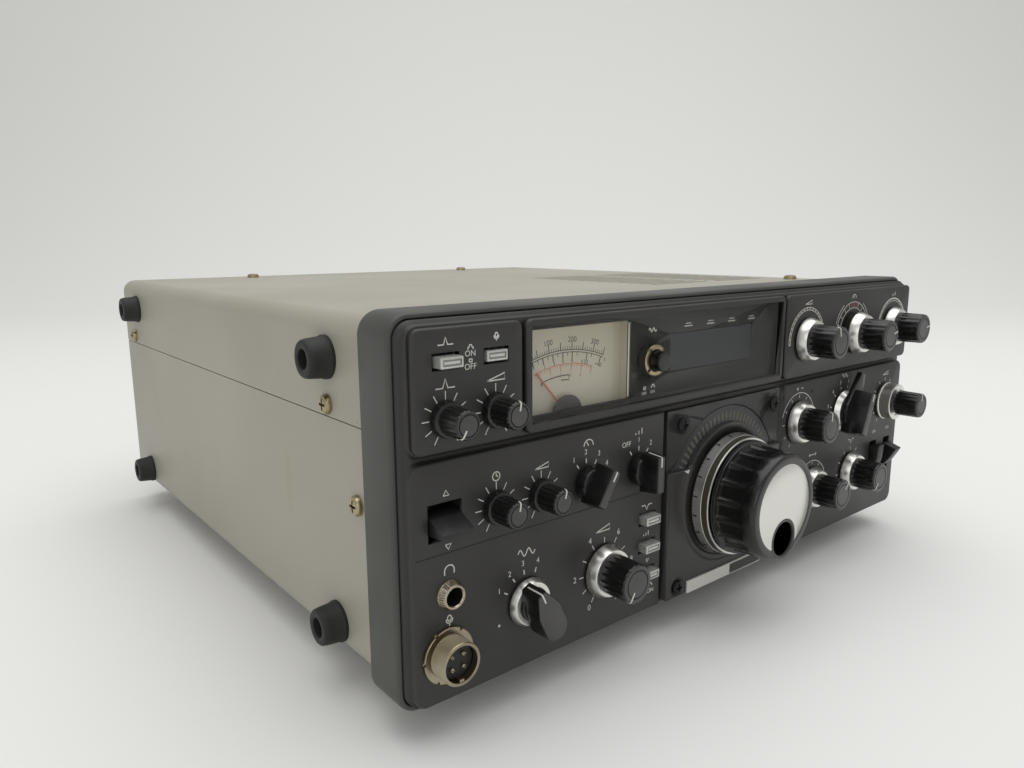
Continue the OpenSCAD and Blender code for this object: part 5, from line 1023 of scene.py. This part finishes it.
# Push keys: chromed oblong caps on square stems, with a small frame sunk in the front. The calibrator is a
# plain black button in a notched brass ring nut on the display window. Lengths are in mm.
key_silver = finish("key_silver", (198, 198, 194), (184, 184, 179), 0.26, 0.5, 0.03, metal=0.6, spread=90)
key_grey = finish("key_grey", (138, 137, 133), (126, 125, 120), 0.4, 0.5, 0.05, metal=0.3, spread=90)
cap_half, cap_depth, stem = 1.8, 9, 1.6
for name in ("blanker_button", "vox_button", "narrow_button", "processor_button", "attenuator_button"):
    x0, x1, y0, y1, z0, z1 = node_box(name)
    cap_back = y0 + cap_depth
    cx, cz = (x0 + x1) / 2, (z0 + z1) / 2
    z0, z1 = cz - cap_half, cz + cap_half
    bm = bmesh.new()
    loops = stacked(bm, (x0, x1, z0, z1), 0.35, [(0, cap_back), (0, y0 + 0.45), (0.12, y0 + 0.15), (0.4, y0)],
                    cap_front=False)
    for inset, y, paint in ((0.75, y0, 0), (0.85, y0 + 0.25, 1), (1.3, y0 + 0.25, 1), (1.4, y0 + 0.1, 0)):
        points = rounded(x0 + inset, x1 - inset, z0 + inset, z1 - inset, 0.2)
        loops.append([bm.verts.new(at(x, y, z)) for x, z in points])
        joined(bm, loops[-2:], paint)
    bm.faces.new(loops[-1])
    stacked(bm, (cx - stem, cx + stem, cz - stem, cz + stem), 0.3, [(0, y1), (0, cap_back - 0.1)], paint=1)
    piece(name + "_cap", bm, [key_silver, key_grey], name, [name])
x0, x1, y0, y1, z0, z1 = node_box("calibrator_button")
cx, cz = (x0 + x1) / 2, (z0 + z1) / 2
bm = bmesh.new()
lathe(bm, facing(at(cx, 0, cz)), [
    (y1, 1.6), (y1, 2), (0, 2), (0, 3.9), (y0 + 0.8, 3.95), (y0 + 0.3, 3.75), (y0 + 0.05, 3.3), (y0, 2.7),
    (y0 + 0.15, 0)])
piece("calibrator_button_cap", bm, [knob_black], "calibrator_button", ["calibrator_button"])
nut_brass = finish("nut_brass", (178, 168, 140), (150, 138, 108), 0.3, 0.5, 0.06, metal=1.0, spread=80)
control_zinc = finish("control_zinc", (150, 149, 142), (126, 124, 115), 0.42, 0.8, 0.06, metal=0.9)
bm = bmesh.new()
bm.from_mesh(frame["nodes"]["control_bodies"].data)
hub = at(cx, -3.05, cz)
nut = [v for v in bm.verts if v.co.y < hub.y and math.hypot(v.co.x - hub.x, v.co.z - hub.z) < 0.0075]
bmesh.ops.delete(bm, geom=nut, context="VERTS")
for face in bm.faces:
    face.material_index = 0


def notches(count, share):
    """Depth of square notches that take up a share of each turn's step."""
    return lambda turn: 1.0 if abs(turn * count / (2 * math.pi) % 1 - 0.5) < share / 2 else 0.0


lathe(bm, facing(at(cx, -3, cz)), [
    (0, 4.3), (0, 6.1), (-0.2, 6.3, 1.4, 1), (-1.1, 6.3, 1.4, 1), (-1.4, 6.05, 1.2, 1), (-1.5, 5.7, 0.8, 1),
    (-1.5, 4.6), (-1.3, 4.3), (0, 4.3)], 240, notches(4, 0.06), paint=1)
piece("control_bodies_metal", bm, [control_zinc, nut_brass], "case", ["control_bodies"],
      solid=False)
# Painted shade: black bars on the ring nut's front, at its notches, stand in for the shade in the slots.
bm = bmesh.new()
ticks(bm, at(cx, -4.5, cz), 4, 5.3, -38, 90, 1.9, 0.6, shade_and_dot_black, 0.3)
piece("ring_nut_slots", bm, [shade_and_dot_black], "case", solid=False)

# Levers: moulded black paddles that rock on cross pins in their slots. The standby lever is a broad flat
# wedge; the two rockers are narrow, with a long slope and a blunt nose.
lever_black = finish("lever_black", (12, 12, 13), (17, 17, 17), 0.42, 0.8, 0.05, spread=60)
wedge = [(2, -3), (2, 3), (-3.5, 2.8), (-11, 0.9), (-11, -0.9), (-3.5, -3)]
nose = [(2, -4), (2, 4), (-3.5, 6.2), (-10.9, 3.6), (-10.5, 2.6), (-7, -3.6), (-3.5, -7.6)]
for name, outline, width, lean in (("standby_lever", wedge, 12.4, 12), ("heater_lever", nose, 6.6, -24),
                                   ("power_lever", nose, 6.6, 0)):
    to = Matrix.Translation(axis[name] / 1000 + at(0, 0, 0)) @ Matrix.Rotation(math.radians(lean), 4, "X")
    to = to @ Matrix.Scale(0.001, 4)
    bm = bmesh.new()
    ends = [[bm.verts.new(to @ Vector((x, y, z))) for y, z in outline] for x in (-width / 2, width / 2)]
    bm.faces.new(ends[0])
    bm.faces.new(ends[1][::-1])
    joined(bm, ends)
    bmesh.ops.recalc_face_normals(bm, faces=bm.faces)
    bmesh.ops.bevel(bm, geom=list(bm.edges), offset=0.0003, segments=2, profile=0.5, affect="EDGES")
    pin_end = width / 2 + 1.6
    lathe(bm, to @ Matrix.Rotation(quarter, 4, "Z"), [
        (pin_end, 0), (pin_end, 1.2), (-pin_end, 1.2), (-pin_end, 0)], 24)
    piece(name + "_moulding", bm, [lever_black], name, [name])

# Front sockets: a headphone jack with a knurled conical nut, and a threaded microphone connector with a
# notched flange, a black insert and four pins. Both are nickel on brass, dulled by use.
nickel = finish("nickel", (172, 163, 144), (142, 132, 108), 0.28, 0.5, 0.05, metal=1.0, spread=70)
socket_black = finish("socket_black", (20, 20, 20), (28, 27, 26), 0.5, 0.5, 0.05)
jack_back = node_box("phones_jack")[3]
bm = bmesh.new()
lathe(bm, facing(at(-149, lower_y, 40.7)), [
    (12, 0, 0, 1), (12, 3.15, 0, 1), (-2.5, 3.15, 0, 1), (-2.8, 3.4), (-2.8, 4.0), (-2.6, 4.3, 0.2, 0),
    (-0.4, 4.95, 0.25, 0), (-0.2, 5.05, 0.1, 0), (0, 5.1), (0, 3.9), (11, 3.9), (11, 3.6)], 128, ribs(36))
stacked(bm, (-157, -141, 33.2, 48.2), 0.6, [(0, jack_back), (0, 12)], paint=1)
piece("phones_jack_metal", bm, [nickel, socket_black], "case", ["phones_jack"])
mic = facing(at(-150.6, lower_y, 20))
bm = bmesh.new()
thread = []
for k in range(11):
    thread += [(-1.7 - 0.55 * k, 7.5), (-1.95 - 0.55 * k, 7.15)]
flange = [(12, 6.9), (12, 7.4), (0, 7.4), (0, 9.6), (-0.15, 9.8, 1.2, 0), (-1.15, 9.8, 1.2, 0),
          (-1.4, 9.5, 1.0, 0), (-1.4, 7.6)]
mouth = [(-7.9, 7.45), (-8.3, 7.2), (-8.4, 6.9), (-8.4, 6.5), (-8.2, 6.25), (-2.0, 6.2), (-2.0, 0)]
lathe(bm, mic, flange + thread + mouth, 96, notches(6, 0.12))
lathe(bm, mic, [(-1.9, 6.1), (-5.2, 6.1), (-5.4, 5.9), (-5.4, 0)], 48, paint=1)
for turn in (45, 135, 225, 315):
    pin = mic @ Matrix.Rotation(math.radians(turn), 4, "Y") @ Matrix.Translation((0, 0, 3.2))
    lathe(bm, pin, [(-5.3, 0.8), (-6.1, 0.8), (-6.35, 0.6), (-6.4, 0)], 16)
    size = Matrix.Diagonal((1.3, 0.12, 0.26, 1))
    made = bmesh.ops.create_cube(bm, size=1, matrix=pin @ Matrix.Translation((0, -6.38, 0)) @ size)
    for face in {f for v in made["verts"] for f in v.link_faces}:
        face.material_index = 1
key_place = mic @ Matrix.Translation((0, -5.2, -5.9)) @ Matrix.Diagonal((1.7, 5.6, 1.4, 1))
bmesh.ops.create_cube(bm, size=1, matrix=key_place)
piece("mic_connector_metal", bm, [nickel, socket_black], "case", ["mic_connector"])

# Inside and rear: zinc-plated boxes, brown boards, an iron transformer, glass tubes in a slotted cage with a
# fan behind it, a speaker over the lower grille and nickel sockets on the rear panel.
laminate = finish("board_laminate", (120, 98, 58), (104, 84, 48), 0.45, 0.8, 0.05)
iron = finish("transformer_iron", (52, 51, 50), (42, 41, 40), 0.55, 0.8, 0.1)
fan_black = finish("fan_plastic", (28, 28, 28), (36, 35, 34), 0.45, 0.6, 0.06)
cone_black = finish("speaker_paper", (34, 33, 32), (44, 43, 41), 0.8, 0.8, 0.15)
tube_glass = clear_plastic("tube_glass", (200, 206, 204), 0.3, 0.04)
painted(control_zinc, "tuning_unit")
painted(zinc, "output_cage")
painted(laminate, "circuit_boards")
painted(iron, "power_transformer")
painted(fan_black, "fan_frame", "fan_rotor")
painted(cone_black, "speaker")
painted(tube_glass, "output_tubes")
painted(nickel, "rear_sockets")
